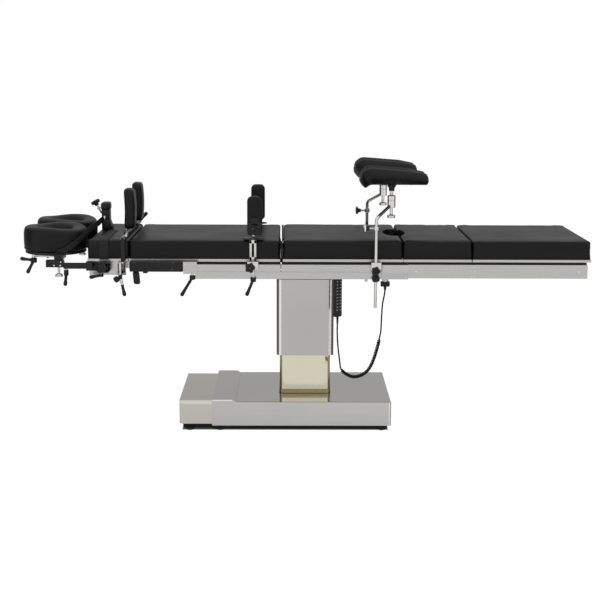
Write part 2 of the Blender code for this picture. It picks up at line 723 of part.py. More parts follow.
def place(bm, matrix):
    """A shape moved and turned to its place."""
    bmesh.ops.transform(bm, matrix=matrix, verts=bm.verts)
    return closed(bm)


def pad_between(x, z):
    """A table cushion between two ends, on its board."""
    shape = cushion(x[1] - x[0], 2 * PAD_HALF_WIDTH, z[1] - z[0])
    return place(shape, Matrix.Translation((sum(x) / 2, 0, z[0])))


def mesh_object(name, bm, body, look):
    """A shape as an object whose origin is on its body's axis."""
    bmesh.ops.translate(bm, vec=-Vector(BODIES[body][1]), verts=bm.verts)
    mesh = bpy.data.meshes.new(name)
    bm.to_mesh(mesh)
    bm.free()
    mesh.shade_smooth()
    mesh.set_sharp_from_angle(angle=math.pi * SHARP_SHARE)
    mesh.materials.append(look)
    made = bpy.data.objects.new(name, mesh)
    bpy.context.scene.collection.objects.link(made)
    made.parent = EMPTIES[body]
    return made


def merged(shapes):
    """Several shapes as one mesh."""
    whole = bmesh.new()
    for shape in shapes:
        mesh = bpy.data.meshes.new("shape")
        shape.to_mesh(mesh)
        shape.free()
        whole.from_mesh(mesh)
        bpy.data.meshes.remove(mesh)
    return whole


def make(name, body, look, shapes, cuts=()):
    """One piece: its shapes welded together, less its cuts."""
    made = mesh_object(name, shapes[0], body, look)
    steps = (("joined", 'UNION', shapes[1:]), ("cut", 'DIFFERENCE', cuts))
    for label, operation, operands in steps:
        if not operands:
            continue
        tool = mesh_object(name + "." + label, merged(operands), body, look)
        tool.hide_render = True
        tool.display_type = 'WIRE'
        change = made.modifiers.new(label, 'BOOLEAN')
        change.operation = operation
        change.solver = 'EXACT'
        change.use_self = True
        change.object = tool
    return made


def bore(centre, y, radius):
    """A hole along Y for a hinge pin."""
    return bar((centre[0], y[0], centre[1]), (centre[0], y[1], centre[1]), radius)


def eye(centre, y, radius):
    """A round hinge eye across Y."""
    return prism(disc_points(centre, radius, FINE_SIDES), "Y", y)


def past(pair, by=OVERRUN):
    """Limits that run past both ends of a pair."""
    return (pair[0] - by, pair[1] + by)


def lever(pivot, tip):
    """A clamp lever: hub, slanted rod and round grip end, from its pivot down or up to its tip."""
    pivot = Vector(pivot)
    end = pivot + Vector((tip[0], 0, tip[1]))
    grip = pivot.lerp(end, GRIP_START_SHARE)
    return [bar(pivot, end, LEVER_ROD, sides=SMALL_SIDES),
            bar(grip, end, LEVER_GRIP, LEVER_TIP, sides=SMALL_SIDES), ball(end, LEVER_END)]


# Base
def build_base():
    wide_x = (COVER_X[0], PLINTH_X[1])
    end_x = (PLINTH_X[0], COVER_X[0] + WELD)
    plinth_z = (FOOT_HEIGHT, PLINTH_TOP)
    end_half = PLINTH_HALF_WIDTH - END_SET_BACK
    make("base_plinth", "base", IRON, [
        block(wide_x, around(0, PLINTH_HALF_WIDTH), plinth_z, PLINTH_CORNER, upright=True),
        block(end_x, around(0, end_half), plinth_z)])
    for label, x in zip(("left", "right"), FOOT_X):
        make("foot_strip_" + label, "base", RUBBER, [
            block(around(x, FOOT_WIDTH / 2), around(0, FOOT_HALF_LENGTH), (0, FOOT_HEIGHT - GAP))])

    wall, inner_x = COVER_WALL, (COVER_X[0] + COVER_WALL, COVER_X[1] - COVER_WALL)
    hump = COVER_TOP + HUMP_RISE
    outline = [(COVER_X[0], COVER_FLOOR), (COVER_X[0], hump), (HUMP_END, hump),
               (HUMP_END + HUMP_SLOPE, COVER_TOP), (COVER_X[1], COVER_TOP), (COVER_X[1], COVER_FLOOR)]
    cover = prism(outline, "Y", around(0, COVER_HALF_WIDTH))
    rim = [e for e in cover.edges
           if e.calc_face_angle() > math.radians(60)
           and max(v.co.z for v in e.verts) > COVER_FLOOR + wall]
    bmesh.ops.bevel(cover, geom=rim, offset=COVER_EDGE, segments=3, profile=0.5, affect='EDGES', material=-1)
    ceiling = [(inner_x[0], PLINTH_TOP + wall), (inner_x[0], hump - wall), (HUMP_END, hump - wall),
               (HUMP_END + HUMP_SLOPE, COVER_TOP - wall), (inner_x[1], COVER_TOP - wall),
               (inner_x[1], PLINTH_TOP + wall)]
    hollow = prism(ceiling, "Y", around(0, COVER_HALF_WIDTH - wall))
    mouth = block((inner_x[0] + COVER_FLANGE, inner_x[1] - COVER_FLANGE),
                  around(0, COVER_HALF_WIDTH - wall - COVER_FLANGE), (COVER_FLOOR - OVERRUN, hump / 2))
    skirt = block((COVER_X[0] - OVERRUN, PLINTH_X[1] + GAP), around(0, PLINTH_HALF_WIDTH + GAP),
                  (COVER_FLOOR - OVERRUN, CARRIED))
    passage = prism(round_outline(MIDDLE_HALF[0] + GAP, MIDDLE_HALF[1] + GAP, SLEEVE_CORNER), "Z",
                    (COVER_TOP - wall - OVERRUN, COVER_TOP + OVERRUN))
    make("base_cover", "base", STEEL, [closed(cover)], [hollow, mouth, skirt, passage])

    half = COVER_HALF_WIDTH - END_SET_BACK
    end_floor = COVER_FLOOR + END_LIFT
    shape = [(-half, end_floor), (-half, COVER_TOP - END_CHAMFER), (-half + END_CHAMFER, COVER_TOP),
             (half - END_CHAMFER, COVER_TOP), (half, COVER_TOP - END_CHAMFER), (half, end_floor)]
    end_x = (END_COVER_START, COVER_X[0] - GAP)
    end_cover = prism(shape, "X", end_x)
    corners = [e for e in end_cover.edges
               if max(v.co.x for v in e.verts) < end_x[0] + wall
               and abs(e.verts[0].co.y - e.verts[1].co.y) < wall
               and abs(e.verts[0].co.z - e.verts[1].co.z) > END_CHAMFER]
    bmesh.ops.bevel(end_cover, geom=corners, offset=END_CORNER, segments=4, profile=0.5,
                    affect='EDGES', material=-1)
    inside_half = half - wall
    inside = [(-inside_half, CARRIED + wall), (-inside_half, COVER_TOP - END_CHAMFER - wall),
              (-inside_half + END_CHAMFER, COVER_TOP - wall), (inside_half - END_CHAMFER, COVER_TOP - wall),
              (inside_half, COVER_TOP - END_CHAMFER - wall), (inside_half, CARRIED + wall)]
    end_hollow = prism(inside, "X", (end_x[0] + END_CORNER, end_x[1] + OVERRUN))
    end_mouth = block((end_x[0] + END_CORNER + COVER_FLANGE, end_x[1] + OVERRUN),
                      around(0, inside_half - COVER_FLANGE), (end_floor - OVERRUN, COVER_TOP / 2))
    end_skirt = block((PLINTH_X[0] - GAP, end_x[1] + OVERRUN), around(0, end_half + GAP),
                      (end_floor - OVERRUN, CARRIED))
    inlet_hole = block((end_x[0] - OVERRUN, end_x[0] + END_CORNER + OVERRUN),
                       around(0, INLET_HALF_WIDTH + GAP), past(INLET_Z, GAP))
    make("base_end_cover", "base", STEEL, [closed(end_cover)],
         [end_hollow, end_mouth, end_skirt, inlet_hole])
    make("mains_inlet", "base", PLASTIC, [
        block((end_x[0] - INLET_PROUD, end_x[0] + INLET_DEPTH), around(0, INLET_HALF_WIDTH), INLET_Z)])
    make("battery_pack", "base", PLASTIC, [
        block(BATTERY_X, around(0, BATTERY_HALF_WIDTH), (CARRIED, CARRIED + BATTERY_HEIGHT))])


def sleeve(half, z, corner, collar=None):
    """A rectangular sleeve with round corners, open at both ends, with a glide collar at its top."""
    inner_corner = corner - SLEEVE_WALL
    outer = round_outline(half[0], half[1], corner)
    inner = round_outline(half[0] - SLEEVE_WALL, half[1] - SLEEVE_WALL, inner_corner)
    rows = [(outer, z[0])]
    if collar:
        proud = round_outline(collar[0], collar[1], corner)
        rows += [(outer, z[1] - COLLAR_HEIGHT), (proud, z[1] - COLLAR_HEIGHT), (proud, z[1])]
    else:
        rows += [(outer, z[1])]
    rows += [(inner, z[1]), (inner, z[0])]
    return loft([[(px, py, height) for px, py in outline] for outline, height in rows], loop=True)


def build_column():
    middle_collar = tuple(h - SLEEVE_WALL - GAP for h in UPPER_HALF)
    inner_collar = tuple(h - SLEEVE_WALL - GAP for h in MIDDLE_HALF)
    make("base_sleeve", "base", STEEL, [sleeve(INNER_HALF, (CARRIED, INNER_TOP), SLEEVE_CORNER, inner_collar)])
    make("mid_sleeve", "mid", CHAMPAGNE, [sleeve(MIDDLE_HALF, MIDDLE_Z, SLEEVE_CORNER, middle_collar)])
    make("upper_sleeve", "lift", STEEL, [sleeve(UPPER_HALF, UPPER_Z, SLEEVE_CORNER)])

    plate_top = UPPER_Z[1] - HEAD_PLATE_RECESS
    plate_floor = plate_top - HEAD_PLATE_THICKNESS
    fit = round_outline(middle_collar[0], middle_collar[1], SLEEVE_CORNER - SLEEVE_WALL)
    shapes = [prism(fit, "Z", (plate_floor, plate_top))]
    cuts = []
    for sign in SIDES.values():
        ear = [(-EAR_FOOT_HALF, plate_top - WELD), (EAR_FOOT_HALF, plate_top - WELD)]
        arc = disc_points((0, TILT_HEIGHT), EAR_RADIUS, FINE_SIDES)[:FINE_SIDES // 2 + 1]
        shapes.append(prism(ear + arc, "Y", span(sign, EAR_Y)))
        cuts.append(bore((0, TILT_HEIGHT), past(span(sign, EAR_Y)), SHAFT_RADIUS + RUNNING))
    make("column_head", "lift", IRON, shapes, cuts)

    hole = ROD_RADIUS + RUNNING
    floor = CARRIED + ACTUATOR_FLOOR
    tube = bar((0, 0, CARRIED), (0, 0, ACTUATOR_TOP), ACTUATOR_RADIUS, sides=FINE_SIDES)
    inside = bar((0, 0, floor), (0, 0, ACTUATOR_TOP + OVERRUN), hole, sides=FINE_SIDES)
    make("lift_actuator", "base", STEEL, [tube], [inside])
    piston = bar((0, 0, ROD_START), (0, 0, plate_floor - GAP), ROD_RADIUS, sides=FINE_SIDES)
    make("lift_rod", "lift", CHROME, [piston])

    half = CROSS_BLOCK_HALF
    pin_reach = EAR_Y[1] + WELD
    shaft_reach = BEARING_X[1] + WELD
    make("tilt_cross", "trend", IRON, [
        block(around(0, half[0]), around(0, half[1]), around(TILT_HEIGHT, half[2])),
        bar((0, -pin_reach, TILT_HEIGHT), (0, pin_reach, TILT_HEIGHT), SHAFT_RADIUS),
        bar((-shaft_reach, 0, TILT_HEIGHT), (shaft_reach, 0, TILT_HEIGHT), SHAFT_RADIUS)])


def drain_cut(z):
    """The drain opening through the seat and leg sections."""
    half = (DRAIN_X[1] - DRAIN_X[0]) / 2
    outline = shifted(round_outline(half, DRAIN_HALF_WIDTH, DRAIN_CORNER, 6), sum(DRAIN_X) / 2, 0)
    return prism(outline, "Z", past(z))


def lug_slot(sign, x_start, z):
    """Room for the hinge lugs in the seat section."""
    y = (BACK_LUG_Y[0] - SLOT_CLEARANCE - WELD, SEAT_LUG_Y[1] + SLOT_CLEARANCE)
    return block((x_start, BACK_AXIS_X + LUG_RADIUS + SLOT_CLEARANCE), span(sign, y), z)


def rail_shapes(sign, x, shares):
    """An accessory rail on its spacers, up to the section's board."""
    shapes = [block(x, span(sign, RAIL_Y), RAIL_Z)]
    root = STRINGER_Y[1] + GAP
    for share in shares:
        start = x[0] + (x[1] - x[0] - SPACER_LENGTH) * share
        length = (start, start + SPACER_LENGTH)
        shapes.append(block(length, span(sign, (root, RAIL_Y[0] + WELD)), SPACER_Z))
        shapes.append(block(length, span(sign, (root, BOARD_HALF_WIDTH - WELD)),
                            (SPACER_Z[0] + WELD, BOARD_FLOOR + WELD)))
    return shapes


def build_chassis():
    beam_z = (BEAM_FLOOR, BEAM_TOP)
    inner = BEAM_Y[0] + WELD
    shapes, cuts = [], []
    for x in (BEAM_X[0], DRAIN_MEMBER_X):
        shapes.append(block((x + WELD, x + WELD + END_MEMBER_WIDTH), around(0, inner), beam_z))
    for way in SIDES.values():
        x = span(way, BEARING_X)
        top = TILT_HEIGHT + SHAFT_RADIUS + RUNNING + BEARING_WALL / 2
        shapes.append(block(x, around(0, inner), beam_z))
        shapes.append(block(x, around(0, BEARING_HALF_WIDTH), (BEAM_FLOOR, top)))
        low, high = past(x)
        cuts.append(bar((low, 0, TILT_HEIGHT), (high, 0, TILT_HEIGHT), SHAFT_RADIUS + RUNNING))
    for sign in SIDES.values():
        shapes.append(block(BEAM_X, span(sign, BEAM_Y), beam_z))
        shapes.append(block(SEAT_STRINGER_X, span(sign, STRINGER_Y), (BEAM_FLOOR, BOARD_FLOOR - GAP)))
        stub = (STRINGER_Y[1] - WELD, inner)
        stub_x = (SEAT_STRINGER_X[0] + WELD, SEAT_STRINGER_X[0] + STUB_WIDTH)
        shapes.append(block(stub_x, span(sign, stub), (BEAM_FLOOR + WELD, BEAM_TOP - WELD)))
        lug_x = (BACK_AXIS_X - LUG_RADIUS, BACK_AXIS_X + LUG_RADIUS)
        foot_z = (BACK_STRINGER_FLOOR, BACK_STRINGER_FLOOR + LUG_FOOT_HEIGHT)
        lug_y = span(sign, SEAT_LUG_Y)
        shapes.append(block(lug_x, lug_y, (foot_z[0], BACK_AXIS_Z)))
        shapes.append(eye((BACK_AXIS_X, BACK_AXIS_Z), lug_y, LUG_RADIUS))
        shapes.append(block((lug_x[0] + WELD, SEAT_STRINGER_X[0] + STUB_WIDTH), lug_y,
                            (foot_z[0] + WELD, foot_z[1])))
        pin_y = span(sign, (BACK_LUG_Y[0] - WELD, SEAT_LUG_Y[0] + WELD))
        shapes.append(bore((BACK_AXIS_X, BACK_AXIS_Z), pin_y, PIN_RADIUS))
        cheek = (BEAM_Y[1] - CHEEK_THICKNESS, BEAM_Y[1])
        shapes.append(block((BEAM_X[1] - WELD, CHEEK_END), span(sign, cheek), beam_z))
        pin_y = span(sign, (LEG_EAR_Y - WELD, cheek[0] + WELD))
        shapes.append(bore((LEG_AXIS_X, LEG_AXIS_Z), pin_y, PIN_RADIUS))
        head_y = span(sign, (BEAM_Y[1] - WELD, BEAM_Y[1] + HINGE_HEAD_THICKNESS))
        shapes.append(bore((LEG_AXIS_X, LEG_AXIS_Z), head_y, HINGE_HEAD_RADIUS))
    reach = (STRINGER_Y[0] - CONTROL_HANGER_REACH, STRINGER_Y[0] + WELD)
    hanger_z = (BEAM_FLOOR + WELD, BEAM_FLOOR + CONTROL_HANGER_THICKNESS)
    shapes.append(block(CONTROL_HANGER_X, span(-1, reach), hanger_z))
    shapes.append(bar((SOCKET_X, SOCKET_Y, BEAM_FLOOR - SOCKET_HEIGHT), (SOCKET_X, SOCKET_Y, BEAM_FLOOR + WELD),
                      SOCKET_RADIUS))
    make("chassis_frame", "frame", STEEL, shapes, cuts)


def build_seat():
    start = BACK_SPLIT + BACK_SLIT / 2
    end = LEG_SPLIT - PAD_MEET
    board_x = (start, end - BOARD_INSET)
    board_z = (BOARD_FLOOR, BOARD_TOP)
    shapes = [block(board_x, around(0, BOARD_HALF_WIDTH), board_z)]
    for sign in SIDES.values():
        shapes += rail_shapes(sign, SEAT_RAIL_X, SEAT_SPACER_SHARES)
    cuts = [drain_cut(board_z)]
    cuts += [lug_slot(sign, start - OVERRUN, past(board_z)) for sign in SIDES.values()]
    make("seat_frame", "frame", STEEL, shapes, cuts)
    pad_z = (PAD_FLOOR, TOP_HEIGHT)
    slot_z = (PAD_FLOOR - OVERRUN, BACK_AXIS_Z + LUG_RADIUS + SLOT_CLEARANCE)
    cuts = [drain_cut(pad_z)]
    cuts += [lug_slot(sign, start - OVERRUN, slot_z) for sign in SIDES.values()]
    make("seat_pad", "frame", PAD_BLACK, [pad_between((start, end), pad_z)], cuts)


def build_leg():
    start = LEG_SPLIT + PAD_MEET
    board_z = (BOARD_FLOOR, BOARD_TOP)
    leg_end, foot_start = around(FOOT_SPLIT, PAD_MEET)
    pads = {"leg_pad": (start, leg_end), "foot_pad": (foot_start, FOOT_END)}
    boards = [(start + BOARD_INSET, leg_end - BOARD_INSET), (foot_start + BOARD_INSET, FOOT_END)]
    shapes = [block(x, around(0, BOARD_HALF_WIDTH), board_z) for x in boards]
    length = LEG_BAR_X[1] - LEG_BAR_X[0]
    for share in LEG_CROSS_SHARES:
        centre = LEG_BAR_X[0] + length * share
        shapes.append(block(around(centre, CROSS_WIDTH / 2), around(0, LEG_BAR_Y[0] + WELD),
                            (LEG_BAR_Z[1] - CROSS_HEIGHT, BOARD_FLOOR + WELD)))
    cuts = [drain_cut(board_z)]
    for sign in SIDES.values():
        shapes.append(block(LEG_BAR_X, span(sign, LEG_BAR_Y), LEG_BAR_Z))
        ear_y = span(sign, (LEG_EAR_Y, LEG_BAR_Y[1]))
        shapes.append(eye((LEG_AXIS_X, LEG_AXIS_Z), ear_y, LEG_EYE_RADIUS))
        shapes.append(block((LEG_AXIS_X, LEG_BAR_X[0] + WELD), ear_y,
                            (LEG_BAR_Z[0] + WELD, LEG_AXIS_Z + LEG_EYE_RADIUS - WELD)))
        cuts.append(bore((LEG_AXIS_X, LEG_AXIS_Z), past(ear_y), PIN_RADIUS + RUNNING))
    make("leg_frame", "leg", STEEL, shapes, cuts)
    for name, x in pads.items():
        cuts = [drain_cut((PAD_FLOOR, TOP_HEIGHT))] if name == "leg_pad" else []
        make(name, "leg", PAD_BLACK, [pad_between(x, (PAD_FLOOR, TOP_HEIGHT))], cuts)


def build_back():
    start = HEAD_SPLIT + PAD_MEET
    end = BACK_SPLIT - BACK_SLIT / 2
    board_x = (start + BOARD_INSET, end)
    shapes = [block(board_x, around(0, BOARD_HALF_WIDTH), (BOARD_FLOOR, BOARD_TOP))]
    cuts = []
    length = end - start
    for share in BACK_CROSS_SHARES:
        centre = start + length * share
        shapes.append(block(around(centre, CROSS_WIDTH / 2), around(0, STRINGER_Y[0] + WELD),
                            (BOARD_FLOOR - CROSS_HEIGHT, BOARD_FLOOR + WELD)))
    starts = {-1: BACK_RAIL_START_NEAR, 1: BACK_RAIL_START_FAR}
    for sign in SIDES.values():
        shapes += rail_shapes(sign, (starts[sign], BACK_RAIL_END), BACK_SPACER_SHARES)
        bar_y = span(sign, STRINGER_Y)
        shapes.append(block((start + BOARD_INSET + WELD, end - WELD), bar_y,
                            (BACK_STRINGER_FLOOR, BOARD_FLOOR + WELD)))
        shapes.append(eye((HEAD_AXIS_X, HEAD_AXIS_Z), bar_y, HEAD_EYE_RADIUS))
        cuts.append(bore((HEAD_AXIS_X, HEAD_AXIS_Z), past(bar_y), PIN_RADIUS + RUNNING))
        lug_x = (BACK_AXIS_X - LUG_RADIUS, BACK_AXIS_X + LUG_RADIUS)
        lug_y = span(sign, BACK_LUG_Y)
        foot_z = (BACK_STRINGER_FLOOR + WELD, BACK_STRINGER_FLOOR + LUG_FOOT_HEIGHT)
        shapes.append(block((BACK_LUG_START, lug_x[1]), lug_y, foot_z))
        shapes.append(block(lug_x, lug_y, (foot_z[0] + WELD, BACK_AXIS_Z)))
        shapes.append(eye((BACK_AXIS_X, BACK_AXIS_Z), lug_y, LUG_RADIUS))
        cuts.append(bore((BACK_AXIS_X, BACK_AXIS_Z), past(lug_y, OVERRUN / 4), PIN_RADIUS + RUNNING))
        root = (STRINGER_Y[1] - WELD, RAIL_Y[0] - WELD)
        shapes.append(block(around(starts[sign] + SPACER_LENGTH, SPACER_LENGTH / 2), span(sign, root), SPACER_Z))
    shapes.append(block(END_PLATE_X, span(-1, END_PLATE_Y), END_PLATE_Z))
    shapes.append(block(past(END_PLATE_X, -WELD), span(-1, (RAIL_Y[0], END_PLATE_Y[0] + WELD)),
                        past(RAIL_Z, -WELD)))
    make("back_frame", "back", STEEL, shapes, cuts)
    make("back_pad", "back", PAD_BLACK, [pad_between((start, end), (PAD_FLOOR, TOP_HEIGHT))])

    make("rail_box", "back", PLASTIC, [
        block(BOX_X, span(-1, BOX_Y), BOX_Z, BOX_EDGE),
        block(BOX_MOUNT_X, span(-1, (STRINGER_Y[1] + GAP, BOX_Y[0] + WELD)), (BOX_Z[0] + WELD, BOX_MOUNT_TOP))])
    grip_z = BOX_Z[0] - GAP - GRIP_RADIUS
    make("box_grip", "box_grip", RUBBER, [
        bar((GRIP_X[0], -GRIP_Y, grip_z), (GRIP_X[1], -GRIP_Y, grip_z), GRIP_RADIUS),
        block(GRIP_X, around(-GRIP_Y, GRIP_RADIUS), (grip_z - GRIP_THICKNESS, grip_z)),
        block(GRIP_X, around(-GRIP_Y, GRIP_THICKNESS / 2), (GRIP_FLOOR, grip_z - GRIP_THICKNESS / 2), BOX_EDGE)])
    lever_y = -sum(END_PLATE_Y) / 2
    top = (BACK_LEVER_X, lever_y, END_PLATE_Z[0] - GAP)
    pivot = (BACK_LEVER_X, lever_y, BACK_LEVER_Z)
    make("back_lever", "back_lever", PAINT, [
        bar(top, pivot, (END_PLATE_Y[1] - END_PLATE_Y[0]) / 2)] + lever(pivot, BACK_LEVER_TIP))


def star(centre, radius, thickness, direction):
    """A star knob across a direction, with soft lobes."""
    turn = Vector((0, 0, 1)).rotation_difference(Vector(direction)).to_matrix().to_4x4()
    points = []
    count = STAR_LOBES * 4
    for i in range(count):
        angle = math.tau * i / count
        lobe = (1 + STAR_DIP_SHARE) / 2 + (1 - STAR_DIP_SHARE) / 2 * math.cos(STAR_LOBES * angle)
        points.append((radius * lobe * math.cos(angle), radius * lobe * math.sin(angle)))
    return place(prism(points, "Z", (-thickness / 2, thickness / 2)), Matrix.Translation(centre) @ turn)


def build_side_supports():
    for side, sign in SIDES.items():
        clamp_x = around(SIDE_BAR_CENTRE, SIDE_CLAMP_HALF)
        face_y = (RAIL_Y[1] + GAP, RAIL_Y[1] + GAP + CLAMP_FACE)
        hook_y = (RAIL_Y[0] - CLAMP_HOOK + GAP, RAIL_Y[1] + GAP + WELD)
        hook_z = (RAIL_Z[1] + GAP, SIDE_CLAMP_Z[1])
        middle = sum(SIDE_CLAMP_Z) / 2
        knob_x = SIDE_BAR_CENTRE + STAR_OFFSET
        knob_y = sign * (face_y[1] + STAR_STEM)
        make("side_clamp_" + side, "back", PAINT, [
            block(clamp_x, span(sign, face_y), SIDE_CLAMP_Z),
            block((clamp_x[0] + WELD, clamp_x[1] - WELD), span(sign, hook_y), hook_z),
            bar((knob_x, sign * (face_y[1] - WELD), middle), (knob_x, knob_y, middle), LEVER_ROD),
            star((knob_x, knob_y, middle), STAR_RADIUS, STAR_THICKNESS, (0, 1, 0))])
        bar_y = around(BOARD_HALF_WIDTH + SIDE_BAR_CLEAR, SIDE_BAR_THICKNESS / 2)
        floor = SIDE_CLAMP_Z[1] + GAP
        oval_z = (SIDE_BAR_TOP - SIDE_OVAL_THICKNESS, SIDE_BAR_TOP)
        oval = [(SIDE_POST_X + SIDE_OVAL_HALF[0] * x, sign * SIDE_POST_Y + SIDE_OVAL_HALF[1] * y)
                for x, y in disc_points((0, 0), 1, OVAL_SIDES)]
        slot_z = (floor + SIDE_BAR_HALF, oval_z[0] - SIDE_BAR_HALF)
        make("side_bar_" + side, "back", CHROME, [
            block(around(SIDE_BAR_CENTRE, SIDE_BAR_HALF), span(sign, bar_y), (floor, SIDE_BAR_TOP)),
            prism(oval, "Z", oval_z)],
            [block(around(SIDE_BAR_CENTRE, SIDE_SLOT_HALF), span(sign, past(bar_y)), slot_z)])
        height = SIDE_PAD_Z[1] - SIDE_PAD_Z[0]
        pad = cushion(2 * SIDE_PAD_HALF, height, SIDE_PAD_THICKNESS, corner=SIDE_PAD_THICKNESS / 3,
                      edge=SIDE_PAD_THICKNESS / 3, foot_edge=SIDE_PAD_THICKNESS / 5, side_steps=2)
        outer = SIDE_POST_Y + SIDE_PAD_THICKNESS / 2
        face = Matrix.Rotation(math.pi / 2 * sign, 4, 'X')
        pad = place(pad, Matrix.Translation((SIDE_PAD_CENTRE, sign * outer, sum(SIDE_PAD_Z) / 2)) @ face)
        bracket_y = (outer - WELD, outer + SIDE_BRACKET_THICKNESS)
        post = bar((SIDE_POST_X, sign * SIDE_POST_Y, SIDE_BAR_TOP + GAP),
                   (SIDE_POST_X, sign * SIDE_POST_Y, SIDE_PAD_Z[0] + SIDE_POST_RADIUS), SIDE_POST_RADIUS)
        make("side_pad_" + side, "side_pad_" + side, PAD_BLACK, [
            pad, post, block(around(SIDE_PAD_CENTRE, SIDE_BRACKET_HALF), span(sign, bracket_y), SIDE_BRACKET_Z)])
        pivot = (SIDE_POST_X, sign * LEVER_Y, SIDE_LEVER_Z)
        top = (SIDE_POST_X, sign * LEVER_Y, SIDE_CLAMP_Z[0] - GAP)
        make("side_lever_" + side, "side_lever_" + side, PAINT,
             [bar(top, pivot, LEVER_SCREW)] + lever(pivot, SIDE_LEVER_TIP))


def knee_pad_shape(sign):
    """A trough pad, lofted along X from sections that curl up at both rims."""
    length = KNEE_PAD_X[1] - KNEE_PAD_X[0]
    rings = []
    for step in range(KNEE_PAD_STATIONS):
        t = 0.5 - 0.5 * math.cos(math.pi * step / (KNEE_PAD_STATIONS - 1))
        x = KNEE_PAD_X[0] + length * t
        end = math.sin(math.pi * t)
        slim = KNEE_END_SHARE + (1 - KNEE_END_SHARE) * min(1, end / KNEE_TAPER_SHARE)
        fall = max(0, 1 - (x - KNEE_PAD_X[0]) / KNEE_LOBE_LENGTH)
        drop = -KNEE_LOBE_DROP * fall ** 2
        full = KNEE_PAD_THICKNESS * (1 + KNEE_PAD_THIN_SHARE * (0.5 - t))
        middle = KNEE_PAD_FLOOR + full / 2 + drop
        ring = []
        for top in (False, True):
            shares = KNEE_PAD_EDGE_SHARES if not top else KNEE_PAD_EDGE_SHARES[::-1]
            for share in shares:
                across = 2 * share - 1
                thick = full / 2 * slim * math.sqrt(max(KNEE_RIM_SHARE, 1 - abs(across) ** 4))
                rise = KNEE_PAD_RIM * across ** 2
                y = KNEE_PAD_HALF_WIDTH * across * (1 - KNEE_WAIST_SHARE * (1 - slim))
                ring.append((x, sign * KNEE_CYLINDER_Y + y, middle + rise + (thick if top else -thick)))
        rings.append(ring)
    return loft(rings)


def build_knee_crutches():
    for side, sign in SIDES.items():
        clamp_y = (RAIL_Y[1] + GAP, RAIL_Y[1] + GAP + KNEE_CLAMP_FACE)
        hook_y = (RAIL_Y[0] - CLAMP_HOOK + GAP, RAIL_Y[1] + GAP + WELD)
        hook_z = (RAIL_Z[1] + GAP, KNEE_CLAMP_Z[1])
        axis_y = sign * KNEE_ROD_Y
        wide, slim = KNEE_SLEEVE_RADIUS
        make("knee_clamp_" + side, "frame", CHROME, [
            block(KNEE_CLAMP_X, span(sign, clamp_y), KNEE_CLAMP_Z),
            block((KNEE_CLAMP_X[0] + WELD, KNEE_CLAMP_X[1] - WELD), span(sign, hook_y), hook_z),
            bar((KNEE_ROD_X, axis_y, KNEE_SLEEVE_Z[1] - WELD), (KNEE_ROD_X, axis_y, KNEE_CLAMP_Z[0] + WELD), wide),
            bar((KNEE_ROD_X, axis_y, KNEE_SLEEVE_Z[0]), (KNEE_ROD_X, axis_y, KNEE_SLEEVE_Z[1]), slim)],
            [bar((KNEE_ROD_X, axis_y, KNEE_SLEEVE_Z[0] - OVERRUN), (KNEE_ROD_X, axis_y, KNEE_CLAMP_Z[1] + OVERRUN),
                 KNEE_ROD_RADIUS + RUNNING)])
        joint = Vector((KNEE_CYLINDER_X, sign * KNEE_CYLINDER_Y, KNEE_ENTRY_Z))
        path = rounded_path([(KNEE_ROD_X, axis_y, KNEE_ROD_Z[0]), (KNEE_ROD_X, axis_y, KNEE_ROD_Z[1]), joint],
                            KNEE_BEND)
        collar_mid = sum(KNEE_COLLAR_Z) / 2
        half_t = KNEE_T_HEIGHT / 2
        t_x = sum(KNEE_T_X) / 2
        make("knee_arm_" + side, "knee_arm_" + side, CHROME, [
            rod(path, KNEE_ROD_RADIUS),
            bar((KNEE_ROD_X, axis_y, KNEE_COLLAR_Z[0]), (KNEE_ROD_X, axis_y, KNEE_COLLAR_Z[1]), KNEE_COLLAR_RADIUS),
            bar((KNEE_ROD_X, axis_y, collar_mid), (t_x, axis_y, collar_mid), KNEE_T_ROD),
            bar((t_x, axis_y, collar_mid - half_t), (t_x, axis_y, collar_mid + half_t), KNEE_T_RADIUS),
            bar((joint.x, joint.y, KNEE_CYLINDER_Z[0]), (joint.x, joint.y, KNEE_CYLINDER_Z[1]),
                KNEE_CYLINDER_RADIUS, sides=FINE_SIDES),
            bar((joint.x, joint.y, KNEE_FOOT_KNOB_Z[1] - WELD), (joint.x, joint.y, KNEE_CYLINDER_Z[0] + WELD),
                KNEE_PIN_RADIUS),
            bar((joint.x, joint.y, KNEE_FOOT_KNOB_Z[0]), (joint.x, joint.y, KNEE_FOOT_KNOB_Z[1]),
                KNEE_FOOT_KNOB_RADIUS)])
        pin = bar((joint.x, joint.y, KNEE_CYLINDER_Z[1] + GAP), (joint.x, joint.y, KNEE_CONE_Z[0] + WELD),
                  KNEE_PIN_RADIUS)
        cone = bar((joint.x, joint.y, KNEE_CONE_Z[0]), (joint.x, joint.y, KNEE_CONE_Z[1] + PAD_EDGE),
                   *KNEE_CONE_RADIUS)
        make("knee_pad_" + side, "knee_pad_" + side, PAD_BLACK, [knee_pad_shape(sign), pin, cone])


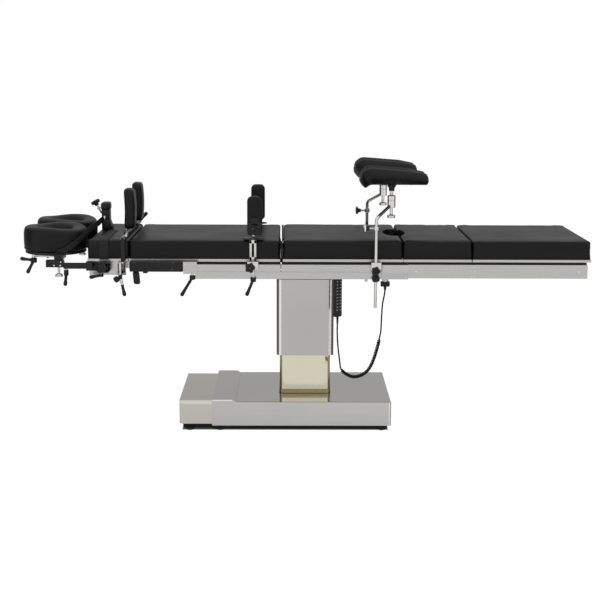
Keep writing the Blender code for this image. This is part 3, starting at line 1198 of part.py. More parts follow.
def build_head():
    board_x = (HEAD_END, HEAD_SPLIT - PAD_MEET - BOARD_INSET)
    shapes = [block(board_x, around(0, BOARD_HALF_WIDTH), (BOARD_FLOOR, BOARD_TOP))]
    cuts = []
    block_y = sum(RING_BLOCK_Y) / 2
    for sign in SIDES.values():
        plate_y = span(sign, HEAD_PLATE_Y)
        shapes.append(block(HEAD_PLATE_X, plate_y, (HEAD_PLATE_FLOOR, BOARD_FLOOR + WELD)))
        shapes.append(eye((HEAD_AXIS_X, HEAD_AXIS_Z), plate_y, HEAD_EYE_RADIUS))
        shapes.append(block((HEAD_PLATE_X[1] - WELD, HEAD_AXIS_X), plate_y,
                            around(HEAD_AXIS_Z, HEAD_EYE_RADIUS - WELD)))
        pin_y = span(sign, (STRINGER_Y[0] - WELD, HEAD_PLATE_Y[0] + WELD))
        shapes.append(bore((HEAD_AXIS_X, HEAD_AXIS_Z), pin_y, PIN_RADIUS))
        shapes.append(block((RING_BLOCK_X[1] - WELD, RING_BAR_END), span(sign, RING_BAR_Y), RING_BAR_Z))
        root = span(sign, (HEAD_PLATE_Y[0] + WELD, RING_BAR_Y[0] + WELD))
        shapes.append(block((RING_BAR_END - SPACER_LENGTH, RING_BAR_END), root, past(RING_BAR_Z, -WELD)))
        shapes.append(block(RING_BLOCK_X, span(sign, RING_BLOCK_Y), RING_BLOCK_Z))
        pivot_y = sign * block_y
        cuts.append(bar((RING_PIVOT_X, pivot_y, RING_BLOCK_Z[0] - OVERRUN),
                        (RING_PIVOT_X, pivot_y, RING_BLOCK_Z[1] + OVERRUN), PIN_RADIUS + RUNNING))
    make("head_frame", "head", STEEL, shapes, cuts)
    make("head_pad", "head", PAD_BLACK, [
        pad_between((HEAD_END, HEAD_SPLIT - PAD_MEET), (PAD_FLOOR, TOP_HEIGHT))])

    clamp_y = (HEAD_PLATE_Y[1] + GAP, STRAP_CLAMP_Y)
    make("strap_clamp", "head", PAINT, [
        block(STRAP_CLAMP_X, span(-1, clamp_y), (STRAP_CLAMP_Z[0], BOARD_FLOOR - GAP)),
        block(STRAP_CLAMP_X, span(-1, (BOARD_HALF_WIDTH + GAP, STRAP_CLAMP_Y)), STRAP_CLAMP_Z)])
    pivot = (STRAP_LEVER_X, -LEVER_Y, STRAP_CLAMP_Z[0] - LEVER_HUB[1] / 2)
    top = (STRAP_LEVER_X, -LEVER_Y, STRAP_CLAMP_Z[0] - GAP)
    make("strap_lever", "strap_lever", PAINT, [bar(top, pivot, LEVER_HUB[0])] + lever(pivot, STRAP_LEVER_TIP))

    floor = TOP_HEIGHT + GAP
    stem_top = POST_TOP - POST_EDGE
    stem = [(POST_X[0], floor), (POST_X[1] + POST_FOOT, floor), (POST_X[1], floor + POST_FOOT_HEIGHT),
            (POST_X[1], stem_top), (POST_X[0], stem_top)]
    cap_z = (POST_TOP - POST_CAP_HEIGHT, POST_TOP)
    make("head_post", "head", PLASTIC, [
        prism(stem, "Y", POST_Y),
        block(past(POST_X, POST_CAP_PROUD), past(POST_Y, POST_CAP_PROUD), cap_z, POST_CAP_EDGE)])
    start = knob_foot + knob_lean * LEVER_HUB[0]
    end = start + knob_lean * KNOB_STEM_LENGTH
    collar = start + knob_lean * KNOB_COLLAR[1] * 2
    make("post_knob", "post_knob", CHROME, [
        bar(start, end, KNOB_STEM_RADIUS),
        bar(collar, collar + knob_lean * KNOB_COLLAR[1], KNOB_COLLAR[0]),
        star(end, STAR_RADIUS * POST_STAR_SHARE, STAR_THICKNESS, knob_lean)])


def build_shoulder_supports():
    bar_y = (-SHOULDER_BAR_REACH, SHOULDER_BAR_REACH - SHOULDER_DROP_THICKNESS)
    drop_y = (SHOULDER_BAR_REACH - SHOULDER_DROP_THICKNESS, SHOULDER_BAR_REACH)
    clamp_y = (HEAD_PLATE_Y[1] + GAP, SHOULDER_CLAMP_Y)
    middle_x = sum(SHOULDER_BAR_X) / 2
    clamp_mid = sum(SHOULDER_CLAMP_Z) / 2
    make("shoulder_bar", "head", PAINT, [
        block(SHOULDER_BAR_X, bar_y, SHOULDER_BAR_Z),
        block(SHOULDER_BAR_X, span(-1, drop_y), (clamp_mid, SHOULDER_BAR_Z[1])),
        block(SHOULDER_CLAMP_X, span(-1, clamp_y), (SHOULDER_CLAMP_Z[0], BOARD_FLOOR - GAP)),
        block(SHOULDER_CLAMP_X, span(-1, (BOARD_HALF_WIDTH + GAP, SHOULDER_CLAMP_Y)), SHOULDER_CLAMP_Z)])
    pivot = (SHOULDER_LEVER_X, -SHOULDER_LEVER_Y, SHOULDER_SCREW_Z[0])
    clear = SHOULDER_LEVER_OFFSET - GAP
    ball_place = Vector(pivot) + Vector((SHOULDER_BALL[0], 0, SHOULDER_BALL[1]))
    make("shoulder_lever_near", "shoulder_lever_near", PAINT, [
        bar((pivot[0], pivot[1], SHOULDER_SCREW_Z[1]), pivot, min(clear, LEVER_ROD)),
        bar(pivot, ball_place, LEVER_ROD), ball(ball_place, SHOULDER_BALL_RADIUS)]
        + lever(pivot, SHOULDER_LEVER_TIP))
    bar_mid = sum(SHOULDER_BAR_Z) / 2
    far = (middle_x, SHOULDER_BAR_REACH, bar_mid)
    hub_y = (bar_y[1] + GAP, bar_y[1] + GAP + LEVER_HUB[1])
    make("shoulder_lever_far", "shoulder_lever_far", PAINT, [
        bore((middle_x, bar_mid), hub_y, LEVER_HUB[0] / 2)] + lever(far, FAR_LEVER_TIP))
    for side, sign in SIDES.items():
        centre = sign * SHOULDER_PAD_Y
        wall = SLIDER_WALL
        outer_x = past(SHOULDER_BAR_X, GAP + wall)
        y = around(centre, SLIDER_HALF)
        top = SHOULDER_BAR_Z[1] + GAP
        height = SHOULDER_PAD_Z[1] - SHOULDER_PAD_Z[0]
        depth = SHOULDER_PAD_X[1] - SHOULDER_PAD_X[0]
        pad = cushion(height, 2 * SHOULDER_PAD_HALF, depth, corner=depth / 3, edge=depth / 3,
                      foot_edge=depth / 5, side_steps=2)
        for vert in pad.verts:
            vert.co.z += SHOULDER_PAD_BOW * (math.cos(vert.co.x / height * math.pi) - 1)
        face = Matrix.Rotation(math.pi / 2, 4, 'Y')
        pad = place(pad, Matrix.Translation((SHOULDER_PAD_X[0], centre, sum(SHOULDER_PAD_Z) / 2)) @ face)
        slot = block(past(SHOULDER_BAR_X, GAP), past(y), (SHOULDER_BAR_Z[0] - OVERRUN, top))
        make("shoulder_pad_" + side, "shoulder_pad_" + side, PAD_BLACK, [
            pad,
            bar((middle_x, centre, top), (middle_x, centre, SHOULDER_PAD_Z[0] + depth / 3), SHOULDER_POST_RADIUS),
            block(outer_x, y, (SHOULDER_BAR_Z[0] + GAP, top + wall))], [slot])


def build_rings():
    height = (RING_FLOOR, RING_TOP)
    edge = RING_EDGE
    profile = [(RING_HOLE, height[0]), (RING_HOLE, height[0] + edge)]
    profile += [(RING_HOLE + edge * out, height[1] - edge * down) for out, down in RING_INNER_SHARES]
    profile += [(RING_RADIUS - edge * inward, height[1] - edge * down) for inward, down in RING_OUTER_SHARES]
    profile += [(RING_RADIUS - PAD_DRAW, sum(height) / 2), (RING_RADIUS, height[0] + edge / 2),
                (RING_RADIUS - edge * RING_FOOT_SHARE, height[0])]
    block_y = sum(RING_BLOCK_Y) / 2
    plate_z = (RING_FLOOR - GAP - RING_PLATE_THICKNESS, RING_FLOOR - GAP)
    for side, sign in SIDES.items():
        centre = (RING_CENTRE_X, sign * RING_CENTRE_Y)
        make("ring_pad_" + side, "ring_" + side, PAD_BLACK, [turned(profile, centre, RING_SIDES)])
        pivot = (RING_PIVOT_X, sign * block_y)
        plate = prism(disc_points(centre, RING_PLATE_RADIUS, RING_SIDES), "Z", plate_z)
        hole = prism(disc_points(centre, RING_HOLE, RING_SIDES), "Z", past(plate_z))
        link_y = span(sign, (RING_CENTRE_Y + RING_HOLE + RING_LINK_HALF, block_y + RING_LINK_HALF / 2))
        link = block(around(RING_PIVOT_X, RING_LINK_HALF), link_y, (RING_BLOCK_Z[1] + GAP, plate_z[1] - WELD))
        clamp = Vector((TWIN_CLAMP_X, sign * TWIN_CLAMP_Y, TWIN_CLAMP_Z[0]))
        shapes = [plate, link,
                  bar((*pivot, RING_KNOB_Z[0] + WELD), (*pivot, RING_BLOCK_Z[1] + OVERRUN), PIN_RADIUS),
                  bar((*pivot, RING_KNOB_Z[0]), (*pivot, RING_KNOB_Z[1]), RING_KNOB_RADIUS),
                  bar(clamp, (clamp.x, clamp.y, plate_z[0] + WELD), TWIN_CLAMP_RADIUS)]
        for tip in TWIN_TIPS:
            shapes += lever(clamp, tip)
        make("ring_arm_" + side, "ring_" + side, PAINT, shapes, [hole])
    lever_y = -sum(RING_BAR_Y) / 2
    pivot = (RING_LEVER_X, lever_y, RING_BAR_Z[0] - LEVER_HUB[1])
    top = (RING_LEVER_X, lever_y, RING_BAR_Z[0] - GAP)
    make("ring_lever", "ring_lever", PAINT, [bar(top, pivot, LEVER_HUB[0])] + lever(pivot, RING_LEVER_TIP))


def smooth_route(points, step, before=None, after=None):
    """A smooth curve through the route's points, read at an even step."""
    points = [Vector(p) for p in points]
    first = Vector(before) if before else 2 * points[0] - points[1]
    last = Vector(after) if after else 2 * points[-1] - points[-2]
    guarded = [first] + points + [last]
    fine = []
    for a, b, c, d in zip(guarded, guarded[1:], guarded[2:], guarded[3:]):
        for i in range(ROUTE_PARTS):
            t = i / ROUTE_PARTS
            fine.append(0.5 * ((2 * b) + (c - a) * t + (2 * a - 5 * b + 4 * c - d) * t ** 2
                               + (3 * b - a - 3 * c + d) * t ** 3))
    fine.append(points[-1])
    lengths = [0]
    for a, b in zip(fine, fine[1:]):
        lengths.append(lengths[-1] + (b - a).length)
    total = lengths[-1]
    count = max(2, round(total / step))
    read, index = [], 0
    for i in range(count + 1):
        want = total * i / count
        while index < len(lengths) - 2 and lengths[index + 1] < want:
            index += 1
        part = (want - lengths[index]) / max(lengths[index + 1] - lengths[index], GAP / ROUTE_PARTS)
        read.append(fine[index].lerp(fine[index + 1], min(1, part)))
    return read, total


def cord(name, body, points, resolution):
    """A round cord along points, as a bevelled curve with filled ends."""
    curve = bpy.data.curves.new(name, 'CURVE')
    curve.dimensions = '3D'
    curve.resolution_u = 1
    curve.render_resolution_u = 0
    curve.bevel_depth = CORD_DIAMETER / 2
    curve.bevel_resolution = resolution
    curve.use_fill_caps = True
    spline = curve.splines.new('POLY')
    spline.points.add(len(points) - 1)
    origin = Vector(BODIES[body][1])
    for slot, point in zip(spline.points, points):
        slot.co = (*(point - origin), 1)
    curve.materials.append(PLASTIC)
    made = bpy.data.objects.new(name, curve)
    bpy.context.scene.collection.objects.link(made)
    made.parent = EMPTIES[body]
    return made


def squared(points, ways):
    """The points with both ends straight for one diameter and drawn in by half a gap."""
    inner = [p for p in points[1:-1]
             if min((p - points[0]).length, (p - points[-1]).length) > 2 * CORD_DIAMETER]
    start = [points[0] + ways[0] * reach for reach in (GAP / 2, CORD_DIAMETER)]
    end = [points[-1] - ways[1] * reach for reach in (CORD_DIAMETER, GAP / 2)]
    return start + inner + end


def way_between(before, after):
    """The cord's direction at a point between two others."""
    return (Vector(after) - Vector(before)).normalized()


def curly_points(route, before, after):
    """A helix round the route, straight for one diameter at both ends."""
    steps = CURLS * CURL_POINTS
    line, total = smooth_route(route, CORD_DIAMETER / 4, before, after)
    radius = (CURLY_DIAMETER - CORD_DIAMETER) / 2
    straight = CORD_DIAMETER
    across = (line[1] - line[0]).orthogonal().normalized()

    def at(distance):
        place_at = distance / total * (len(line) - 1)
        low = min(int(place_at), len(line) - 2)
        return line[low].lerp(line[low + 1], place_at - low), (line[low + 1] - line[low]).normalized()

    points = [line[0], line[0] + way_between(before, route[1]) * straight]
    for step in range(1, steps):
        along = straight + (total - 2 * straight) * step / steps
        middle, way = at(along)
        across = (across - way * across.dot(way)).normalized()
        other = way.cross(across)
        ramp = min(1, step / CURL_POINTS, (steps - step) / CURL_POINTS)
        angle = math.tau * step / CURL_POINTS
        points.append(middle + radius * ramp * (across * math.cos(angle) + other * math.sin(angle)))
    points += [line[-1] - way_between(route[-2], after) * straight, line[-1]]
    points[0] += (points[1] - points[0]).normalized() * GAP / 2
    points[-1] += (points[-2] - points[-1]).normalized() * GAP / 2
    near = [(points[i] - points[j]).length for i in range(len(points))
            for j in range(i + CURL_POINTS - 2, len(points))]
    print("curly cord: least gap to itself", round((min(near) - CORD_DIAMETER) * 1000, 2), "mm")
    return points


def build_hand_control():
    x, y = CONTROL_CENTRE
    turn = Matrix.Translation((x, y, 0)) @ Matrix.Rotation(CONTROL_TURN, 4, 'Z')
    width, depth, height = CONTROL_SIZE
    top = CONTROL_FLOOR + height
    body = place(block(around(0, width / 2), around(0, depth / 2), (CONTROL_FLOOR, top), CONTROL_EDGE), turn)
    hook = bar((x, y, top - CONTROL_EDGE), (x, y, BEAM_FLOOR + WELD - GAP), CONTROL_EDGE)
    relief = bar((x, y, CONTROL_FLOOR - RELIEF_LENGTH), (x, y, CONTROL_FLOOR + WELD), *RELIEF_RADIUS)
    make("hand_control", "frame", PLASTIC, [body, hook, relief])
    plug = block(around(SOCKET_X, PLUG_HALF[0]), around(SOCKET_Y, PLUG_HALF[1]), PLUG_Z, WELD)
    neck = bar((SOCKET_X, SOCKET_Y, PLUG_NECK_Z), (SOCKET_X, SOCKET_Y, PLUG_Z[0] + WELD), *PLUG_NECK_RADIUS)
    make("control_plug", "frame", PLASTIC, [plug, neck])
    step = CORD_DIAMETER * CORD_STEP_SHARE
    out, out_length = smooth_route(CORD_OUT, step, after=CORD_CURLY[1])
    back, back_length = smooth_route(CORD_IN, step, before=CORD_CURLY[-2])
    down, up = Vector((0, 0, -1)), Vector((0, 0, 1))
    leave = way_between(CORD_OUT[-2], CORD_CURLY[1])
    come = way_between(CORD_CURLY[-2], CORD_IN[1])
    cord("control_cord", "frame", squared(out, (down, leave)), 2)
    cord("curly_cord", "frame", curly_points(CORD_CURLY, CORD_OUT[-2], CORD_IN[1]), 1)
    cord("plug_cord", "frame", squared(back, (come, up)), 2)
    print("plain cord lengths", round(out_length, 3), round(back_length, 3))


build_base()
build_column()
build_chassis()
build_seat()
build_leg()
build_back()
build_side_supports()
build_knee_crutches()
build_head()
build_shoulder_supports()
build_rings()
build_hand_control()
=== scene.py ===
# %% [markdown]
# # An electric operating table, dressed around its CAD frame
#
# The CAD frame already holds every plate, rail, hinge and lever at its real size.
# This lesson gives it the surfaces: cushions that swell, chrome that bends light,
# steel with a brushed grain, straps, a curly cord and the small fasteners.
# The cushions and the grip take their boxes from the frame. The small hardware repeats
# the frame's places in metres, so it has to follow when the frame changes there.

# %% Load the frame
import math
import json

import bmesh
import bpy
from mathutils import Matrix, Vector


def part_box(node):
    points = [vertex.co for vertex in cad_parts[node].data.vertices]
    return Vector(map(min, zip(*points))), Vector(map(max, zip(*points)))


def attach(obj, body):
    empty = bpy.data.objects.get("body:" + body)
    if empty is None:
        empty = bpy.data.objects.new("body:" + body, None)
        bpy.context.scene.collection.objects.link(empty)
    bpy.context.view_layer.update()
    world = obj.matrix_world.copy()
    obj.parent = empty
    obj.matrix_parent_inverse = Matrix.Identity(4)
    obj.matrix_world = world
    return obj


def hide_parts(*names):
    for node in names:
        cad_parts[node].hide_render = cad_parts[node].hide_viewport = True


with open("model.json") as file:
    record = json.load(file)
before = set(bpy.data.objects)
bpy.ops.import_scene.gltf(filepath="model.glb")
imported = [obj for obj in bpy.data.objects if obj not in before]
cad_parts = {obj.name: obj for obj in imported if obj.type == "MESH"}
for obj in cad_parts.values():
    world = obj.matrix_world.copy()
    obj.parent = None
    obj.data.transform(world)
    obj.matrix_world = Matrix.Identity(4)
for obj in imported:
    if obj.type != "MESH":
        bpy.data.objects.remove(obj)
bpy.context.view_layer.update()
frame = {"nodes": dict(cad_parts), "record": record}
scene = bpy.context.scene
nodes = frame["nodes"]
record = frame["record"]
body_of = {node: body for body, group in record["behaviour"]["bodies"].items() for node in group}
slot_of = {part["node"]: part["material_slot"] for part in record["subparts"]}
SIDES = {"near": -1, "far": 1}

# %% [markdown]
# ## Camera
#
# The photograph was taken from the near side, slightly above the top, with a long lens.
# A long lens keeps the long table free of distortion. The tilt is set by turning the
# camera, and no lens shift is needed.

# %% Camera
CAMERA_PLACE = (-0.0565, -5.06, 1.429)
CAMERA_PITCH = math.radians(10.75)
CAMERA_YAW = math.radians(0.55)
CAMERA_ROLL = math.radians(-0.25)
CAMERA_LENS = 74.37


def placed(name, data):
    """A new object in the scene."""
    made = bpy.data.objects.new(name, data)
    scene.collection.objects.link(made)
    return made


lens = bpy.data.cameras.new("camera")
lens.lens = CAMERA_LENS
camera = placed("camera", lens)
camera.rotation_euler = (math.pi / 2 - CAMERA_PITCH, CAMERA_ROLL, -CAMERA_YAW)
camera.location = CAMERA_PLACE
scene.camera = camera

# %% [markdown]
# ## Studio
#
# Polished metal has no look of its own, it shows the room. A round world shader plays
# the room for the reflections: a soft front, two bright panels at the sides, dark gaps
# behind them and a grey back wall. The camera itself sees plain white.
# The floor is white to the camera too, keeps a faint soft shadow, and has a painted contact shadow under the
# base.

# %% World and floor
ROOM_STOPS = ((0.0, 0.86), (0.08, 0.88), (0.20, 0.96), (0.44, 0.96), (0.50, 0.14), (0.66, 0.10),
              (0.80, 0.44), (1.0, 0.47))
CEILING = 1.0
CEILING_RISE = (0.35, 0.75)
DAYLIGHT = 0.50
FLOOR_HALF = 3.2
FLOOR_TONE = 0.86
FLOOR_GLOW = 0.93
FLOOR_SHADE = 0.17
FLOOR_MIRRORED = 0.42
# Painted contact shadow: a box under the base where the floor's glow is taken away.
PAINTED_SHADOW_MIDDLE, PAINTED_SHADOW_HALF = (-0.079, 0.0), (0.407, 0.222)
PAINTED_SHADOW_FADE = (-0.001, 0.008)
PAINTED_SHADOW_DARK = 0.94
LAMP_AIM = Vector((0, 0, 0.7))
LAMPS = {"overhead softbox": ((0.2, -0.4, 3.0), 2.6, 1.6, 34),
         "front softbox": ((-1.6, -3.6, 2.3), 1.6, 1.6, 26),
         "back softbox": ((1.2, 3.2, 2.2), 2.0, 1.0, 20)}


def grey(level):
    """An opaque grey."""
    return (level, level, level, 1)


def mesh_from(bm, name):
    """A mesh of a bmesh, which is used up."""
    mesh = bpy.data.meshes.new(name)
    bm.to_mesh(mesh)
    bm.free()
    return mesh


def add(tree, kind, inputs=None, **settings):
    """A shader node with its settings. Each input is a socket to wire up or a plain value."""
    node = tree.nodes.new("ShaderNode" + kind)
    for name, value in settings.items():
        setattr(node, name, value)
    for name, value in (inputs or {}).items():
        if isinstance(value, bpy.types.NodeSocket):
            tree.links.new(value, node.inputs[name])
        else:
            node.inputs[name].default_value = value
    return node


def maths(tree, operation, *values):
    """A Math node's result."""
    return add(tree, "Math", dict(enumerate(values)), operation=operation).outputs[0]


def ranged(tree, value, low, high, to_low=0.0, to_high=1.0, kind="LINEAR"):
    """A value spread from one range to another."""
    spread = {"Value": value, "From Min": low, "From Max": high, "To Min": to_low, "To Max": to_high}
    return add(tree, "MapRange", spread, interpolation_type=kind).outputs[0]


def blended(tree, factor, first, second):
    """Two colours mixed by a factor."""
    return add(tree, "Mix", {"Factor": factor, "A": first, "B": second}, data_type="RGBA").outputs["Result"]


def build_world():
    """White for the camera, a room for reflections, an even light for the rest."""
    scene.world = bpy.data.worlds.new("studio")
    scene.world.use_nodes = True
    tree = scene.world.node_tree
    tree.nodes.clear()
    way = add(tree, "SeparateXYZ", {0: add(tree, "TexCoord").outputs["Generated"]}).outputs
    turn = maths(tree, "ARCTAN2", way["X"], maths(tree, "MULTIPLY", way["Y"], -1.0))
    ramp = add(tree, "ValToRGB", {0: maths(tree, "DIVIDE", maths(tree, "ABSOLUTE", turn), math.pi)})
    stops = ramp.color_ramp.elements
    for index, (place, level) in enumerate(ROOM_STOPS):
        stop = stops[index] if index < 2 else stops.new(place)
        stop.position = place
        stop.color = grey(level)
    room = blended(tree, ranged(tree, way["Z"], *CEILING_RISE), ramp.outputs[0], grey(CEILING))
    path = add(tree, "LightPath").outputs
    reflected = maths(tree, "MAXIMUM", path["Is Glossy Ray"], path["Is Transmission Ray"])
    even = blended(tree, reflected, grey(DAYLIGHT), room)
    back = add(tree, "Background", {"Color": blended(tree, path["Is Camera Ray"], even, grey(1))})
    add(tree, "OutputWorld", {"Surface": back.outputs[0]})


def build_floor():
    """A pale floor that glows for the camera, keeps a faint shadow and has a painted contact shadow under the
    base.
    """
    bm = bmesh.new()
    bmesh.ops.create_grid(bm, x_segments=1, y_segments=1, size=FLOOR_HALF)
    floor = placed("floor", mesh_from(bm, "floor"))
    look = bpy.data.materials.new("pale floor")
    look.use_nodes = True
    tree = look.node_tree
    tree.nodes.clear()
    path = add(tree, "LightPath").outputs
    place = add(tree, "SeparateXYZ", {0: add(tree, "TexCoord").outputs["Object"]}).outputs
    beyond = []
    for axis, middle, half in zip("XY", PAINTED_SHADOW_MIDDLE, PAINTED_SHADOW_HALF):
        away = maths(tree, "ABSOLUTE", maths(tree, "SUBTRACT", place[axis], middle))
        beyond.append(maths(tree, "SUBTRACT", away, half))
    # Painted contact shadow: the glow fades to dark inside the box under the base.
    outside_painted_shadow = ranged(tree, maths(tree, "MAXIMUM", *beyond), *PAINTED_SHADOW_FADE, 1 - PAINTED_SHADOW_DARK, kind="SMOOTHSTEP")

    def plain(tone):
        return add(tree, "BsdfDiffuse", {"Color": grey(tone)}).outputs[0]

    def lit(tone, glow):
        light = add(tree, "Emission", {"Strength": maths(tree, "MULTIPLY", outside_painted_shadow, glow)})
        return add(tree, "AddShader", {0: plain(tone), 1: light.outputs[0]}).outputs[0]

    mirrored = add(tree, "MixShader", {0: path["Is Glossy Ray"], 1: plain(FLOOR_TONE),
                                       2: lit(FLOOR_MIRRORED, FLOOR_MIRRORED)})
    seen = add(tree, "MixShader", {0: path["Is Camera Ray"], 1: mirrored.outputs[0],
                                   2: lit(FLOOR_SHADE, FLOOR_GLOW)})
    add(tree, "OutputMaterial", {"Surface": seen.outputs[0]})
    floor.data.materials.append(look)


def softbox(name, place, width, height, power):
    """A large soft lamp that looks at the table and isn't seen in reflections."""
    lamp = bpy.data.lights.new(name, "AREA")
    lamp.shape = "RECTANGLE"
    lamp.size, lamp.size_y, lamp.energy = width, height, power
    made = placed(name, lamp)
    made.location = place
    made.rotation_euler = (LAMP_AIM - Vector(place)).to_track_quat("-Z", "Y").to_euler()
    made.visible_glossy = False


build_world()
build_floor()
for name, (place, width, height, power) in LAMPS.items():
    softbox(name, place, width, height, power)
scene.view_settings.view_transform = "Standard"
print("world, floor and", len(LAMPS), "softboxes made")

# %% [markdown]
# ## Surface groups
#
# A finish is more than a colour: steel has a grain in one direction, upholstery has
# tiny pores and larger soft waves, moulded plastic has a fine spark texture, and paint
# wears at its edges. Each effect is one node group with a mask and a normal as outputs,
# so that every material below can use it with values of its own.

# %% Node groups
def group(title, **inputs):
    """A shader group with a Mask and a Normal as outputs."""
    tree = bpy.data.node_groups.new(title, "ShaderNodeTree")
    for name, value in inputs.items():
        kind = "NodeSocketVector" if isinstance(value, tuple) else "NodeSocketFloat"
        tree.interface.new_socket(name, in_out="INPUT", socket_type=kind).default_value = value
    tree.interface.new_socket("Mask", in_out="OUTPUT", socket_type="NodeSocketFloat")
    tree.interface.new_socket("Normal", in_out="OUTPUT", socket_type="NodeSocketVector")
    given = tree.nodes.new("NodeGroupInput").outputs
    out = tree.nodes.new("NodeGroupOutput").inputs

    def put(mask, height=None, distance=0.0005):
        tree.links.new(mask, out["Mask"])
        if height is not None:
            bump = add(tree, "Bump", {"Height": height, "Strength": given["Strength"], "Distance": distance})
            tree.links.new(bump.outputs[0], out["Normal"])
        return tree

    return tree, given, put


def object_place(tree):
    """The place on an object, in metres."""
    return add(tree, "TexCoord").outputs["Object"]


def noise(tree, vector, scale, detail=2.0, roughness=0.5):
    """A noise texture's value."""
    return add(tree, "TexNoise", {"Vector": vector, "Scale": scale, "Detail": detail,
                                  "Roughness": roughness}).outputs[0]


def weighted(tree, *terms):
    """The sum of values, each times its weight."""
    scaled = [maths(tree, "MULTIPLY", value, weight) for value, weight in terms]
    whole = scaled[0]
    for value in scaled[1:]:
        whole = maths(tree, "ADD", whole, value)
    return whole


def brushed_group():
    """Fine lines along one direction, with soft cloudy smears."""
    tree, given, put = group("brushed grain", Stretch=(3, 400, 400), Strength=0.05)
    place = object_place(tree)
    stretched = add(tree, "VectorMath", {0: place, 1: given["Stretch"]}, operation="MULTIPLY").outputs[0]
    lines = noise(tree, stretched, 1.0, 3.0, 0.6)
    mixed = weighted(tree, (lines, 0.55), (noise(tree, place, 3.2), 0.45))
    return put(ranged(tree, mixed, 0.35, 0.65), lines, 0.0006)


def upholstery_group():
    """Pores of a smooth artificial leather over slow waves of the foam below."""
    tree, given, put = group("upholstery grain", Pores=650.0, Strength=0.25)
    place = object_place(tree)
    cells = add(tree, "TexVoronoi", {"Vector": place, "Scale": given["Pores"]}).outputs["Distance"]
    waves, fine = noise(tree, place, 7.0), noise(tree, place, 180.0, 3.0)
    height = weighted(tree, (cells, 0.22), (waves, 2.4), (fine, 0.25))
    return put(ranged(tree, weighted(tree, (waves, 1.0), (fine, 0.4)), 0.45, 0.95), height, 0.0012)


def moulded_group():
    """The fine spark texture of moulded plastic, powder paint and rubber."""
    tree, given, put = group("moulded texture", Scale=900.0, Strength=0.15)
    place = object_place(tree)
    return put(ranged(tree, noise(tree, place, 14.0, 3.0), 0.35, 0.70), noise(tree, place, given["Scale"]))


def wear_group():
    """Where hands and cloths have rubbed an edge: convex places, broken up by noise."""
    tree, given, put = group("edge wear", Amount=0.5)
    place = object_place(tree)
    edge = ranged(tree, add(tree, "NewGeometry").outputs["Pointiness"], 0.53, 0.60)
    spots = ranged(tree, noise(tree, place, 160.0, 4.0), 0.50, 0.66)
    return put(maths(tree, "MULTIPLY", maths(tree, "MULTIPLY", edge, spots), given["Amount"]))


def weave_group():
    """A webbing weave that follows the strap's own map: ribs along and across."""
    tree, given, put = group("webbing weave", Strength=0.6)
    laid = add(tree, "UVMap").outputs[0]
    ribs = [add(tree, "TexWave", {"Scale": scale, "Distortion": 0.4, "Vector": laid},
                bands_direction=way).outputs[1] for way, scale in (("X", 330.0), ("Y", 250.0))]
    height = maths(tree, "MULTIPLY", *ribs)
    return put(height, height, 0.0006)


GRAINS = {"brushed": brushed_group(), "upholstery": upholstery_group(), "moulded": moulded_group(),
          "weave": weave_group()}
WEAR = wear_group()
print("node groups:", ", ".join(sorted(GRAINS)), "and edge wear")

# %% [markdown]
# ## Finishes
#
# Each finish mixes two close tones by its group's mask, and lets the same mask move the
# roughness a little, because a real surface is never equally polished everywhere.
# The steels differ in their polish and in the direction of their grain: plates are brushed
# upright, rails and beams along the table. A row of a table holds a finish's title, its two
# tones, its range of roughness and the values of its group.

# %% Materials
def tone(level, warm=0.0):
    """A grey with a small shift towards yellow."""
    return (level * (1 + warm), level, level * (1 - 1.6 * warm))


def made_finish(title, low, high, rough, grain, metallic=0.0, specular=0.5, wear=0.0, worn=None,
                edge=0.0, **values):
    """A Principled finish from a grain group, with two tones and a range of roughness.

    The edge value paints shade into a metal's colour where it turns away from the eye, in place of darker
    reflections there."""
    look = bpy.data.materials.new(title)
    look.use_nodes = True
    tree = look.node_tree
    surface = add(tree, "Group", values, node_tree=GRAINS[grain]).outputs
    mask = surface["Mask"]
    colour = blended(tree, mask, (*low, 1), (*high, 1))
    if wear:
        rubbed = add(tree, "Group", {"Amount": wear}, node_tree=WEAR).outputs["Mask"]
        colour = blended(tree, rubbed, colour, (*worn, 1))
    # Painted rim shade: the colour darkens where the surface turns from the eye.
    if edge:
        away = add(tree, "LayerWeight", {"Blend": 0.5}).outputs["Facing"]
        colour = blended(tree, ranged(tree, away, *PAINTED_RIM_SHADE_TURN, 0.0, edge), colour, PAINTED_RIM_SHADE_TONE)
    shader = tree.nodes["Principled BSDF"].inputs
    shader["Metallic"].default_value = metallic
    shader["Specular IOR Level"].default_value = specular
    for name, socket in (("Base Color", colour), ("Roughness", ranged(tree, mask, 0.0, 1.0, *rough)),
                         ("Normal", surface["Normal"])):
        tree.links.new(socket, shader[name])
    return look


